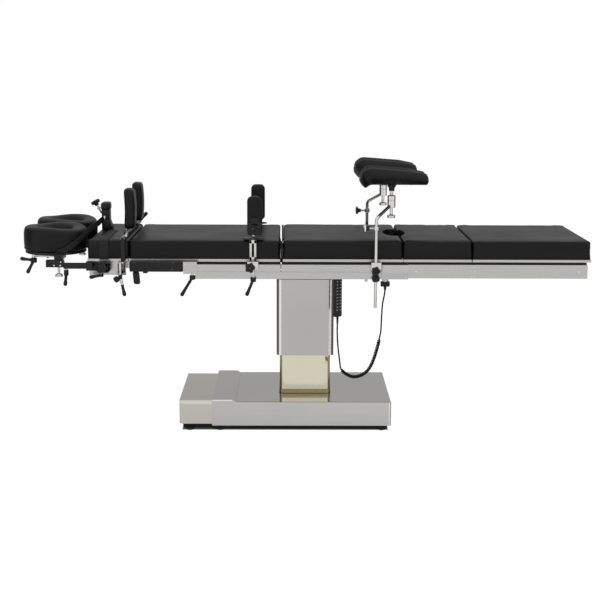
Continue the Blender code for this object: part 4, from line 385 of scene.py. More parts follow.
ALONG = (4.0, 700.0, 700.0)
UPRIGHT = (700.0, 700.0, 4.0)
PAINTED_RIM_SHADE_TURN = (0.25, 0.85)
PAINTED_RIM_SHADE_TONE = (0.05, 0.048, 0.044, 1)
METALS = {
    "steel_plate": ("brushed steel plate", tone(0.52, 0.012), tone(0.56, 0.016), (0.20, 0.28), UPRIGHT, 0.06),
    "steel_top": ("polished base steel", tone(0.56, 0.015), tone(0.62, 0.02), (0.10, 0.19), ALONG, 0.05),
    "steel_rail": ("brushed rail steel", tone(0.545, 0.018), tone(0.58, 0.022), (0.22, 0.30), ALONG, 0.035),
    "steel_warm": ("warm end steel", (0.63, 0.605, 0.545), (0.67, 0.645, 0.585), (0.16, 0.26), ALONG, 0.04),
    # Painted highlight: a near-white steel for thin bands where rounded corners and edges catch the light.
    "edge_bright": ("painted highlight steel", tone(0.88, 0.012), tone(0.93, 0.012), (0.12, 0.20), UPRIGHT,
                    0.02),
    # Dark steel: painted shade in bands on turned-away corners, and the plain colour of dark screws and seams.
    "edge_dark": ("dark steel and painted edge shade", tone(0.10, 0.03), tone(0.16, 0.03), (0.28, 0.38), UPRIGHT, 0.04),
    # Painted shade in a brown tone for the champagne sleeve's turned-away corners and the collar at the
    # column's foot.
    "edge_brown": ("painted sleeve shade", (0.34, 0.27, 0.15), (0.42, 0.34, 0.20), (0.18, 0.28), UPRIGHT, 0.03),
    "champagne": ("champagne sleeve", (0.785, 0.74, 0.58), (0.85, 0.805, 0.64), (0.10, 0.18), UPRIGHT, 0.04)}
MOULDED = {
    "seam": ("upholstery seam", 0.004, 0.008, (0.50, 0.65), 1400.0, 0.5, 0.3),
    "plastic": ("black moulded plastic", 0.006, 0.010, (0.34, 0.44), 1500.0, 0.12, 0.3),
    "rubber": ("black rubber", 0.006, 0.010, (0.60, 0.78), 800.0, 0.25, 0.35),
    "cord": ("black cord", 0.003, 0.006, (0.42, 0.55), 1400.0, 0.1, 0.2),
    "mark": ("pale key mark", 0.55, 0.68, (0.40, 0.55), 900.0, 0.05, 0.5),
    "key": ("grey key cap", 0.045, 0.060, (0.38, 0.48), 1800.0, 0.1, 0.5)}
LOOKS = {
    # Chrome takes the painted rim shade through its edge value.
    "chrome": made_finish("bright chrome", tone(0.66, 0.02), tone(0.74, 0.02), (0.05, 0.12), "moulded",
                          metallic=1.0, edge=0.92, Scale=60.0, Strength=0.02),
    "upholstery": made_finish("black upholstery", tone(0.0045), tone(0.0075), (0.36, 0.46), "upholstery",
                              specular=0.20, Pores=650.0, Strength=0.20),
    "paint": made_finish("black powder paint", tone(0.006), tone(0.010), (0.30, 0.40), "moulded",
                         wear=0.5, worn=(0.07, 0.07, 0.066), specular=0.32, Scale=1100.0, Strength=0.14),
    "iron": made_finish("black cast base", tone(0.003), tone(0.006), (0.55, 0.70), "moulded",
                        wear=0.2, worn=(0.05, 0.045, 0.04), specular=0.2, Scale=420.0, Strength=0.4),
    "webbing": made_finish("black webbing", tone(0.008), tone(0.026), (0.50, 0.70), "weave",
                           specular=0.3, Strength=0.7)}
for name, (title, low, high, rough, stretch, strength) in METALS.items():
    LOOKS[name] = made_finish(title, low, high, rough, "brushed", metallic=1.0, Stretch=stretch,
                              Strength=strength)
for name, (title, low, high, rough, scale, strength, specular) in MOULDED.items():
    LOOKS[name] = made_finish(title, tone(low), tone(high), rough, "moulded", specular=specular, Scale=scale,
                              Strength=strength)
SLOT_LOOK = {"steel": "steel_rail", "champagne_steel": "champagne", "chrome": "chrome",
             "upholstery": "upholstery", "black_plastic": "plastic", "black_paint": "paint",
             "rubber": "rubber", "cast_base": "iron"}
print(len(LOOKS), "finishes made")

# %% [markdown]
# ## Modelling helpers
#
# Most pieces here are one of four shapes: a slab with eased edges, a turned body, a
# section swept along a path, or a strap laid along a path. Each helper starts from a
# bmesh operator and returns a bmesh, and shapes are welded into one piece at the end.
# A piece either stands in for the CAD node that it is named after, or is a detail of it.

# %% Shape helpers
MERGE = 0.00001
SMOOTH = math.radians(35)
FLAT = math.radians(1)
EASED_FROM = math.radians(40)
ROUND = 32
EASE = 0.0008


def moved(bm, matrix):
    """A shape moved by a matrix."""
    bmesh.ops.transform(bm, matrix=matrix, verts=bm.verts)
    return bm


def stretched(bm, factors, place):
    """A shape scaled about the origin, then moved to its place."""
    bmesh.ops.scale(bm, vec=factors, verts=bm.verts)
    bmesh.ops.translate(bm, vec=place, verts=bm.verts)
    return bm


def eased(bm, edges, width, segments):
    """A shape with some of its edges bevelled."""
    bmesh.ops.bevel(bm, geom=edges, offset=width, segments=segments, profile=0.5, affect="EDGES", material=-1)
    return bm


def slab(start, end, edge=EASE, segments=2, upright=False):
    """A box between two opposite corners, with its edges eased."""
    corners = list(zip(start, end))
    low, high = Vector([min(pair) for pair in corners]), Vector([max(pair) for pair in corners])
    bm = bmesh.new()
    bmesh.ops.create_cube(bm, size=1)
    stretched(bm, high - low, (low + high) / 2)
    edges = bm.edges[:]
    if upright:
        edges = [e for e in edges if abs(e.verts[0].co.z - e.verts[1].co.z) > MERGE]
    return eased(bm, edges, edge, segments) if edge else bm


def towards(way):
    """The turn that lays the Z axis along a direction."""
    return Vector((0, 0, 1)).rotation_difference(Vector(way)).to_matrix().to_4x4()


def turned(profile, place=(0, 0, 0), way=(0, 0, 1), steps=ROUND):
    """Radius and height pairs spun round an axis."""
    bm = bmesh.new()
    verts = [bm.verts.new((radius, 0, height)) for radius, height in profile]
    edges = [bm.edges.new(pair) for pair in zip(verts, verts[1:])]
    bmesh.ops.spin(bm, geom=verts + edges, cent=(0, 0, 0), axis=(0, 0, 1), angle=math.tau, steps=steps,
                   use_merge=True)
    bmesh.ops.remove_doubles(bm, verts=bm.verts, dist=MERGE)
    return moved(bm, Matrix.Translation(place) @ towards(way))


def circle(bm, radius, sides, matrix):
    """The points of a round section."""
    return bmesh.ops.create_circle(bm, cap_ends=False, segments=sides, radius=radius, matrix=matrix)["verts"]


def skinned(bm, rings, closed=False):
    """Sections bridged into a tube that is closed on itself or at both ends."""
    loops = [list({edge for vert in ring for edge in vert.link_edges}) for ring in rings]
    for first, second in zip(loops, loops[1:] + (loops[:1] if closed else [])):
        bmesh.ops.bridge_loops(bm, edges=first + second)
    if not closed:
        bmesh.ops.holes_fill(bm, edges=loops[0] + loops[-1], sides=len(rings[0]))
    return bm


def ways_along(path):
    """The direction of a path at each of its points."""
    ahead = [(b - a).normalized() for a, b in zip(path, path[1:])]
    return [ahead[0]] + [(a + b).normalized() for a, b in zip(ahead, ahead[1:])] + [ahead[-1]]


def swept(path, radius, sides):
    """A round section bridged along a path."""
    bm = bmesh.new()
    ways = ways_along(path)
    across = ways[0].orthogonal().normalized()
    rings = []
    for point, way in zip(path, ways):
        across = (across - way * across.dot(way)).normalized()
        turn = Matrix((across, way.cross(across), way)).transposed().to_4x4()
        rings.append(circle(bm, radius, sides, Matrix.Translation(point) @ turn))
    return skinned(bm, rings)


def rounded(points, radius, steps=8):
    """A path with an arc in place of each corner."""
    points = [Vector(point) for point in points]
    path = [points[0]]
    for before, corner, after in zip(points, points[1:], points[2:]):
        come, go = (corner - before).normalized(), (after - corner).normalized()
        reach = radius * math.tan(come.angle(go) / 2)
        start, end = corner - come * reach, corner + go * reach
        path += [start * (1 - t) ** 2 + corner * 2 * t * (1 - t) + end * t ** 2
                 for t in (step / steps for step in range(steps + 1))]
    path.append(points[-1])
    return path


def joined(shapes):
    """Several shapes as one bmesh."""
    whole = bmesh.new()
    for shape in shapes:
        mesh = mesh_from(shape, "part")
        whole.from_mesh(mesh)
        bpy.data.meshes.remove(mesh)
    return whole


def shaded(mesh, sharp=SMOOTH):
    """A mesh shaded smooth, with sharp edges where it turns by more than an angle."""
    mesh.shade_smooth()
    mesh.set_sharp_from_angle(angle=sharp)
    return mesh


def piece(name, shapes, like, look=None, stands=(), smooth=SMOOTH, slot=None):
    """A finished piece from its shapes. It rides and is finished as the CAD node that it is like."""
    whole = joined(shapes)
    bmesh.ops.remove_doubles(whole, verts=whole.verts, dist=MERGE)
    bmesh.ops.recalc_face_normals(whole, faces=whole.faces)
    made = placed(name, shaded(mesh_from(whole, name), smooth))
    slot = slot or slot_of[like]
    made.data.materials.append(LOOKS[look or SLOT_LOOK[slot]])
    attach(made, body_of[like])
    if stands:
        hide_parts(*stands)
    return made


def stand_in(node, part, look, *shapes, **how):
    """A piece in place of the CAD node that it is named after."""
    return piece(node + "_" + part, shapes, node, look, (node,), **how)


def detail(node, part, look, *shapes):
    """A piece that is added to a CAD node."""
    return piece(node + "_" + part, shapes, node, look)


def refined(node, part, look, ease=EASE, keep=None):
    """A CAD node, or those of its faces that pass a test, with eased edges and smooth rounds."""
    bm = bmesh.new()
    bm.from_mesh(nodes[node].data)
    bmesh.ops.remove_doubles(bm, verts=bm.verts, dist=MERGE)
    if keep:
        away = [face for face in bm.faces if not keep(face.calc_center_median())]
        bmesh.ops.delete(bm, geom=away, context="FACES")
        bmesh.ops.holes_fill(bm, edges=[edge for edge in bm.edges if edge.is_boundary], sides=0)
    bmesh.ops.dissolve_limit(bm, angle_limit=FLAT, verts=bm.verts, edges=bm.edges)
    made = stand_in(node, part, look, bm)
    rim = made.modifiers.new("eased edges", "BEVEL")
    rim.limit_method = "ANGLE"
    rim.angle_limit = EASED_FROM
    rim.width = ease
    rim.segments = 2
    rim.harden_normals = True
    return made


def smoothed(made, levels=1):
    """A cover softened by subdivision."""
    fine = made.modifiers.new("smooth", "SUBSURF")
    fine.levels = fine.render_levels = levels


# %% [markdown]
# ## Swelling a cushion
#
# Upholstery is a cover pulled over foam. The cover is made a little too small, and a
# cloth simulation blows it up against a held underside. The swell is capped, and no
# point may leave the box of the CAD cushion, so that neighbours stay clear of each other.

# %% Cloth helper
SWELL_FRAMES = 14
SWELL_QUALITY = 4


def swell(cover, cap, low, high, pressure=3.0, held=0.004):
    """Inflates a closed cover by cloth simulation and keeps it in its box."""
    points = cover.data.vertices
    rest = [vert.co.copy() for vert in points]
    pinned = cover.vertex_groups.new(name="held")
    pinned.add([vert.index for vert in points if vert.co.z < low.z + held], 1.0, "REPLACE")
    cloth = cover.modifiers.new("swell", "CLOTH")
    cloth.settings.use_pressure = True
    cloth.settings.uniform_pressure_force = pressure
    cloth.settings.effector_weights.gravity = 0
    cloth.settings.vertex_group_mass = "held"
    cloth.settings.quality = SWELL_QUALITY
    cloth.point_cache.frame_start = 1
    cloth.point_cache.frame_end = SWELL_FRAMES
    for step in range(1, SWELL_FRAMES + 1):
        scene.frame_set(step)
    shaped = cover.evaluated_get(bpy.context.evaluated_depsgraph_get())
    blown = [vert.co.copy() for vert in shaped.data.vertices]
    cover.modifiers.remove(cloth)
    cover.vertex_groups.clear()
    for vert, old, new in zip(points, rest, blown):
        move = new - old
        if move.length > cap:
            move = move.normalized() * cap
        goal = old + move
        vert.co = [min(max(goal[i], low[i]), high[i]) for i in range(3)]
    scene.frame_set(1)


# %% [markdown]
# ## The five table cushions
#
# Each table section has a firm foam cushion with a seamless welded cover: flat sides,
# small round edges and a slight crown. The block is bevelled, cut into a fine grid by
# planes so that the cloth can bend, and swollen by a few millimetres. The drain opening
# is cut through the seat and leg cushions before the swell, and the seat cushion also
# makes room for the lugs of the back section's hinge.

# %% Table cushions
COVER_TIGHT = 0.0022
COVER_CORNER = 0.012
COVER_EDGE = 0.008
COVER_FOOT = 0.003
COVER_CELL = 0.018
SWELL_CAP = 0.0035
DRAIN_HALF = (0.0412, 0.102)
DRAIN_TOWARDS_HEAD = 0.0175
LUG_ROOM_Y = (0.219, 0.245)
LUG_ROOM_X = 0.035
LUG_ROOM_TOP = 0.7605


def cover_block(low, high, corner=COVER_CORNER, edge=COVER_EDGE, cell=COVER_CELL, foot=COVER_FOOT):
    """A bevelled block, sliced into cells."""
    bm = slab(low, high, corner, 4, upright=True)
    for level, width, steps in ((high[2], edge, 4), (low[2], foot, 3)):
        eased(bm, [e for e in bm.edges if all(abs(v.co.z - level) < MERGE for v in e.verts)], width, steps)
    for axis in range(3):
        count = max(2, round((high[axis] - low[axis]) / cell))
        across = Vector([1.0 if i == axis else 0.0 for i in range(3)])
        for step in range(1, count):
            place = across * (low[axis] + (high[axis] - low[axis]) * step / count)
            bmesh.ops.bisect_plane(bm, geom=bm.verts[:] + bm.edges[:] + bm.faces[:], dist=MERGE,
                                   plane_co=place, plane_no=across)
    return bm


def cut_with(target, *shapes):
    """Takes shapes away from a piece for good."""
    whole = joined(shapes)
    bmesh.ops.recalc_face_normals(whole, faces=whole.faces)
    tool = placed("cutter", mesh_from(whole, "cutter"))
    change = target.modifiers.new("cut", "BOOLEAN")
    change.operation = "DIFFERENCE"
    change.solver = "EXACT"
    change.object = tool
    shaped = bpy.data.meshes.new_from_object(target.evaluated_get(bpy.context.evaluated_depsgraph_get()))
    target.modifiers.clear()
    old = target.data
    target.data = shaped
    bpy.data.meshes.remove(old)
    bpy.data.objects.remove(tool)


def table_cushion(node):
    """One section's cushion, swollen inside its CAD box."""
    low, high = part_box(node)
    tight = Vector((0, COVER_TIGHT, 0))
    start, end = low + tight, high - tight - Vector((0, 0, COVER_TIGHT))
    made = stand_in(node, "cover", None, cover_block(start, end))
    under = low.z - EASE
    cuts = []
    if node in ("seat_pad", "leg_pad"):
        over = high.z + EASE
        oval = turned([(0, under), (1, under), (1, over), (0, over)], steps=64)
        cuts.append(stretched(oval, (*DRAIN_HALF, 1), (drain_middle, 0, 0)))
    if node == "seat_pad":
        cuts += [slab((low.x - EASE, sign * LUG_ROOM_Y[0], under),
                      (low.x + LUG_ROOM_X, sign * LUG_ROOM_Y[1], LUG_ROOM_TOP), 0) for sign in SIDES.values()]
    if cuts:
        cut_with(made, *cuts)
    swell(made, SWELL_CAP, low, high)
    shaded(made.data)
    return made


drain_middle = (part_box("seat_pad")[1].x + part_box("leg_pad")[0].x) / 2 - DRAIN_TOWARDS_HEAD
for node in ("seat_pad", "back_pad", "head_pad", "leg_pad", "foot_pad"):
    print(node, len(table_cushion(node).data.polygons), "faces")

# %% [markdown]
# ## Ring head cushions
#
# Two ring cushions carry the head of a patient who lies face down. Each is a tall foam
# ring with a rolled crest that slopes into its hole, and a cover sewn along the outer
# side, where the seam pulls a narrow groove. A profile is spun round, then swollen.

# %% Ring cushions
RING_HOLE_SHARE = 0.43
RING_SEAM_SHARE = 0.14
RING_SEAM_DEPTH = 0.0022
RING_SEAM_HALF = 0.003
RING_FALL = 0.011
RING_DENT = 0.006
RING_STEPS = 72
RING_SMOOTH = math.radians(50)
RING_CAP = 0.003


def ring_profile(outer, hole, low, high):
    """The section of a ring cushion from its hole's foot round to its outer foot."""
    tall = high - low
    roll = (outer - hole) / 2
    crest = hole + roll
    profile = [(hole + 0.004, low), (hole, low + 0.006), (hole, low + tall * 0.30)]
    for step in range(11):
        angle = math.pi * (1 - step / 10)
        lift = math.sin(angle) ** 0.62
        reach = math.copysign(abs(math.cos(angle)) ** 0.72, math.cos(angle))
        drop = 0.30 * tall if reach < 0 else 0.0
        height = low + tall * 0.62 + lift * tall * 0.38 - drop * abs(reach) ** 2.2
        profile.append((crest + reach * roll, height))
    seam = low + tall * RING_SEAM_SHARE
    return profile + [(outer, seam + RING_SEAM_HALF), (outer - RING_SEAM_DEPTH, seam),
                      (outer, seam - RING_SEAM_HALF), (outer, low + 0.006), (outer - 0.005, low),
                      (hole + 0.004, low)]


def bulge(angle, at, power):
    """One at an angle, falling to nothing a quarter turn away from it."""
    return max(0.0, math.cos(angle - at)) ** power


def ring_cushion(node):
    """One ring, spun, pressed down where a head would lie, and swollen."""
    low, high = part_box(node)
    middle = (low + high) / 2
    outer = (high.x - low.x) / 2 - 0.001
    shape = turned(ring_profile(outer, outer * RING_HOLE_SHARE, low.z, high.z - 0.001),
                   (middle.x, middle.y, 0), steps=RING_STEPS)
    for vert in shape.verts:
        angle = math.atan2(vert.co.y - middle.y, vert.co.x - middle.x)
        share = max(0.0, (vert.co.z - low.z) / (high.z - low.z) - 0.3) / 0.7
        vert.co.z -= (RING_FALL * bulge(angle, -0.5, 2) + RING_DENT * bulge(angle, 2.3, 6)) * share ** 2
    made = stand_in(node, "cover", None, shape, smooth=RING_SMOOTH)
    swell(made, RING_CAP, low, high, pressure=2.0)
    smoothed(made)


for side in SIDES:
    ring_cushion("ring_pad_" + side)
print("ring cushions spun in", RING_STEPS, "steps")

# %% [markdown]
# ## The hand control's cord
#
# The control hangs under the frame on a lead: a plain tail, then a curly part that is
# stretched into a wide loop by its own weight, then a plain tail up to the plug.
# It is one smooth curve through the route, and the curls are a helix round that route.
# At both ends of the curly part the helix opens its pitch and its radius shrinks to
# nothing, so that the cord doesn't pinch where it turns into a plain tail.

# %% Cord
CORD_ROUTE = ((0.1264, -0.2000, 0.4269), (0.1264, -0.2003, 0.4150), (0.1260, -0.2036, 0.3950),
              (0.1286, -0.2090, 0.3428), (0.1369, -0.2110, 0.2737), (0.1410, -0.2120, 0.2493),
              (0.1565, -0.2160, 0.2313), (0.1884, -0.2200, 0.2169), (0.2240, -0.2230, 0.2250),
              (0.2516, -0.2270, 0.2514), (0.2703, -0.2320, 0.2944), (0.2848, -0.2390, 0.3492),
              (0.2904, -0.2430, 0.3794), (0.2952, -0.2490, 0.4116), (0.2965, -0.2600, 0.4734),
              (0.2990, -0.2670, 0.5220), (0.3050, -0.2700, 0.5560), (0.3072, -0.2700, 0.5747))
CURLY_FROM, CURLY_TO = 5, 12
CORD_DIAMETER = 0.0062
CURLY_DIAMETER = 0.0150
CURLS = 38
CURL_POINTS = 14
CURL_OPEN_SHARE = 0.45
CORD_GAP = 0.00015
TAIL_STEP = 0.006


def route_through(points, before=None, after=None, step=0.002):
    """A smooth curve through the points, read at an even step."""
    points = [Vector(point) for point in points]
    guarded = [Vector(before) if before else 2 * points[0] - points[1]] + points
    guarded.append(Vector(after) if after else 2 * points[-1] - points[-2])
    fine = []
    for a, b, c, d in zip(guarded, guarded[1:], guarded[2:], guarded[3:]):
        for t in (i / 60 for i in range(60)):
            fine.append(0.5 * (2 * b + (c - a) * t + (2 * a - 5 * b + 4 * c - d) * t ** 2
                               + (3 * b - a - 3 * c + d) * t ** 3))
    fine.append(points[-1])
    reach = reaches(fine)
    count = max(2, round(reach[-1] / step))
    read, index = [], 0
    for want in (reach[-1] * i / count for i in range(count + 1)):
        while index < len(reach) - 2 and reach[index + 1] < want:
            index += 1
        share = (want - reach[index]) / (reach[index + 1] - reach[index])
        read.append(fine[index].lerp(fine[index + 1], min(1.0, share)))
    return read


def reaches(points):
    """How far along a line each of its points lies."""
    reach = [0.0]
    for a, b in zip(points, points[1:]):
        reach.append(reach[-1] + (b - a).length)
    return reach


def curl_round(line):
    """A helix round a line, with its radius growing from nothing at both ends."""
    steps = CURLS * CURL_POINTS
    wide = (CURLY_DIAMETER - CORD_DIAMETER) / 2
    across = (line[1] - line[0]).orthogonal().normalized()
    curled, angle = [], 0.0
    for step in range(steps + 1):
        place = step / steps * (len(line) - 1)
        low = min(int(place), len(line) - 2)
        middle = line[low].lerp(line[low + 1], place - low)
        way = (line[low + 1] - line[low]).normalized()
        across = (across - way * across.dot(way)).normalized()
        ease = min(1.0, step / CURL_POINTS / 2, (steps - step) / CURL_POINTS / 2)
        ease = ease * ease * (3 - 2 * ease)
        curled.append(middle + wide * ease * (across * math.cos(angle) + way.cross(across) * math.sin(angle)))
        angle += math.tau / CURL_POINTS * (CURL_OPEN_SHARE + (1 - CURL_OPEN_SHARE) * ease)
    return curled


def cord_piece(name, points, node):
    """A round cord along points, as one open spline with closed ends."""
    curve = bpy.data.curves.new(name, "CURVE")
    curve.dimensions = "3D"
    curve.resolution_u = 1
    curve.bevel_depth = CORD_DIAMETER / 2
    curve.bevel_resolution = 3
    curve.use_fill_caps = True
    spline = curve.splines.new("POLY")
    spline.points.add(len(points) - 1)
    for knot, point in zip(spline.points, points):
        knot.co = (*point, 1)
    curve.materials.append(LOOKS["cord"])
    made = placed(name, curve)
    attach(made, body_of[node])
    return made


tail_out = route_through(CORD_ROUTE[:CURLY_FROM + 1], after=CORD_ROUTE[CURLY_FROM + 1], step=TAIL_STEP)
curls = curl_round(route_through(CORD_ROUTE[CURLY_FROM:CURLY_TO + 1], CORD_ROUTE[CURLY_FROM - 1],
                                 CORD_ROUTE[CURLY_TO + 1]))
tail_in = route_through(CORD_ROUTE[CURLY_TO:], before=CORD_ROUTE[CURLY_TO - 1], step=TAIL_STEP)
whole = tail_out[:-1] + curls + tail_in[1:]
whole[0] = whole[0] - Vector((0, 0, CORD_GAP))
cord_length = reaches(whole)[-1]
hand_cord = cord_piece("hand_cord", whole, "curly_cord")
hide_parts("control_cord", "curly_cord", "plug_cord")
plug = refined("control_plug", "finished", "plastic")
print("cord length", round(cord_length, 3), "m in", len(whole), "points")

# %% [markdown]
# ## Fasteners, knobs and levers
#
# Clamp levers look alike all over the table: a black hub, rod and grip on a bright screw,
# with the grip swelling towards a round end. Only the near shoulder lever has a bright
# rod. Star knobs are a moulded disc with five soft lobes. Both are turned, and the star
# is pressed in between its lobes.

# %% Knob and lever shapes
LEVER_ROD = 0.0053
GRIP_SHARE = 0.45
GRIP_END = 0.0078
STAR_DIP = 0.22
STAR_LOBES = 5


def grip_shape(start, end):
    """A lever's grip, slim at its collar and full at its round end."""
    along = Vector(end) - Vector(start)
    long = along.length + GRIP_END * 0.95
    profile = [(0, 0), (0.0056, 0), (0.0064, 0.0012), (0.0064, 0.0040), (0.0056, 0.0052),
               (0.0060, long * 0.45), (0.0070, long - 0.016), (GRIP_END, long - 0.009),
               (GRIP_END * 0.92, long - 0.0045), (GRIP_END * 0.55, long - 0.0010), (0, long)]
    return turned(profile, start, along, 20)


def disc(radius, low, high, place, way=(0, 0, 1), ease=0.0010, steps=ROUND):
    """A short turned drum with eased rims."""
    near = radius - ease * 0.3
    profile = [(0, low), (radius - ease, low), (near, low + ease * 0.3), (radius, low + ease),
               (radius, high - ease), (near, high - ease * 0.3), (radius - ease, high), (0, high)]
    return turned(profile, place, way, steps)


def rod_between(start, end, radius, steps=20):
    """A straight round rod with eased ends."""
    start, end = Vector(start), Vector(end)
    return disc(radius, 0, (end - start).length, start, end - start, min(0.0006, radius * 0.3), steps)


def star_shape(centre, way, radius, thickness):
    """A star knob: a domed disc pressed in between its lobes."""
    half = thickness / 2
    profile = [(0, -half), (radius * 0.72, -half), (radius * 0.93, -half * 0.72), (radius, -half * 0.2),
               (radius, half * 0.2), (radius * 0.93, half * 0.72), (radius * 0.72, half),
               (radius * 0.42, half), (radius * 0.38, half * 0.82), (radius * 0.30, half * 0.82),
               (radius * 0.26, half * 1.05), (0, half * 1.15)]
    bm = turned(profile, steps=60)
    for vert in bm.verts:
        reach = math.hypot(vert.co.x, vert.co.y)
        rim = min(1.0, max(0.0, (reach / radius - 0.45) / 0.4))
        angle = math.atan2(vert.co.y, vert.co.x)
        press = 1 - STAR_DIP * rim * (0.5 - 0.5 * math.cos(STAR_LOBES * angle)) ** 1.3
        vert.co.x *= press
        vert.co.y *= press
    return moved(bm, Matrix.Translation(centre) @ towards(way))


def side_star(sign, x, y, z, radius, thickness, neck):
    """A star knob that looks to one side of the table, and its neck between two depths."""
    root, tip, thick = neck
    return (star_shape((x, sign * y, z), (0, sign, 0), radius, thickness),
            rod_between((x, sign * root, z), (x, sign * tip, z), thick))


def screw_shape(centre, way, radius, height):
    """A cap screw with a sunk socket."""
    profile = [(0, height * 0.35), (radius * 0.45, height * 0.35), (radius * 0.45, height * 0.9),
               (radius * 0.55, height), (radius * 0.85, height), (radius, height * 0.75), (radius, 0), (0, 0)]
    return turned(profile, centre, way, 24)


def clamp_lever(node, pivot, tip, top=None, hub=0.0110, hub_tall=0.017, hub_way=(0, 0, 1), also=(),
                bright=False):
    """A whole clamp lever in two pieces: its screw in chrome, and hub, rod and grip in black."""
    pivot = Vector(pivot)
    end = pivot + Vector((tip[0], 0, tip[1]))
    start = pivot.lerp(end, GRIP_SHARE if bright else GRIP_SHARE / 2)
    rod = rod_between(pivot, start + (end - start) * 0.08, LEVER_ROD)
    black = [grip_shape(start, end), disc(hub, -hub_tall / 2, hub_tall / 2, pivot, hub_way, 0.0022), *also]
    metal = []
    if bright:
        metal += [rod, disc(0.0064, 0, 0.006, pivot.lerp(end, 0.24), end - pivot)]
    else:
        black.append(rod)
    if top:
        head = Vector((pivot.x, pivot.y, top))
        metal += [rod_between(head, pivot, 0.0045), disc(0.0062, 0, 0.0035, head - Vector((0, 0, 0.0050)))]
    if metal:
        stand_in(node, "screw", "chrome", *metal)
    stand_in(node, "grip", "plastic", *black)


# %% [markdown]
# ## Clamp levers in their places
#
# Every lever hangs from the clamp that it tightens. The pivots repeat the CAD's, so the
# levers turn about the same axes in every pose.

# %% Levers
for side, sign in SIDES.items():
    clamp_lever("side_lever_" + side, (-0.2025, sign * 0.298, 0.6195), (-0.0235, -0.0566), 0.6578)
clamp_lever("back_lever", (-0.4363, -0.2934, 0.627), (-0.0405, -0.0666), 0.6402)
clamp_lever("strap_lever", (-0.785, -0.298, 0.6357), (-0.0390, -0.0080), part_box("strap_clamp")[0].z - 0.0006,
            hub=0.0090, hub_tall=0.013)
clamp_lever("ring_lever", (-0.9221, -0.280, 0.642), (-0.0050, -0.0450), 0.6574, hub=0.0092, hub_tall=0.022)
near_pivot = Vector((-0.7115, -0.303, 0.630))
ball_place = near_pivot + Vector((-0.0150, 0, -0.0097))
ball = [grip_shape(near_pivot, ball_place),
        disc(0.0118, -0.0095, 0.0095, ball_place, (-0.84, 0, -0.54), 0.005)]
clamp_lever("shoulder_lever_near", near_pivot, (0.0141, -0.0683), 0.686, hub=0.0078, bright=True, also=ball)
clamp_lever("shoulder_lever_far", (-0.703, 0.282, 0.774), (0.0270, 0.0320), hub=0.0062, hub_tall=0.015,
            hub_way=(0, 1, 0))
print("seven clamp levers, all turned")

# %% [markdown]
# ## Side supports
#
# A side support keeps the patient from sliding. A chrome bar with a long slot stands in
# a rail clamp and carries an oval foot plate. The pad turns on a post that stands on the
# plate. The bar's slot is real: two uprights and two bridges are joined in one piece.

# %% Side supports
SIDE_PAD_LOW, SIDE_PAD_HIGH = Vector((-0.2258, 0.2258, 0.7872)), Vector((-0.1692, 0.2606, 0.9320))
SIDE_PAD_ARCH = 0.004
SIDE_POST = (-0.2025, 0.2435)
BAR_X = (-0.2169, -0.2085, -0.1995, -0.1911)
CLAMP_LOW, CLAMP_HIGH = 0.6583, 0.6895
BAR_LOW, BAR_HIGH = CLAMP_HIGH + 0.0004, 0.7700
BAR_BRIDGE = 0.014
HOOK_Y = (0.2683, 0.2918)
PAD_CELL = 0.012
PAD_CAP = 0.002
PIPING = 0.0009
PIPING_SHARE = 0.42


def piping(points, radius, sides=8):
    """A closed thin tube along a loop of points."""
    bm = bmesh.new()
    rings = [circle(bm, radius, sides, Matrix.Translation(point) @ towards(after - before))
             for before, point, after in zip(points[-1:] + points, points, points[1:] + points[:1])]
    return skinned(bm, rings, closed=True)


def round_loop(wide, tall, corner, level, steps=5):
    """Points round a rectangle with round corners, in the plane across Z."""
    points = []
    for turn, (sx, sy) in enumerate(((1, 1), (-1, 1), (-1, -1), (1, -1))):
        for step in range(steps + 1):
            angle = math.pi / 2 * (turn + step / steps)
            points.append(Vector((sx * (wide / 2 - corner) + corner * math.cos(angle),
                                  sy * (tall / 2 - corner) + corner * math.sin(angle), level)))
    return points


def small_pad(node, wide, tall, thick, corner, edge, matrix):
    """A support pad: swollen cover and a piped seam round its side."""
    block = cover_block((-wide / 2, -tall / 2, 0), (wide / 2, tall / 2, thick), corner, edge, PAD_CELL,
                        edge * 0.8)
    made = stand_in(node, "cover", None, moved(block, matrix))
    low, high = (Vector([pick(vert.co[i] for vert in made.data.vertices) + grow for i in range(3)])
                 for pick, grow in ((min, -PAD_CAP / 2), (max, PAD_CAP / 2)))
    swell(made, PAD_CAP, low, high, pressure=2.5, held=0.0)
    smoothed(made)
    loop = [matrix @ point for point in round_loop(wide, tall, corner, thick * PIPING_SHARE)]
    return made, detail(node, "seam", "seam", piping(loop, PIPING))


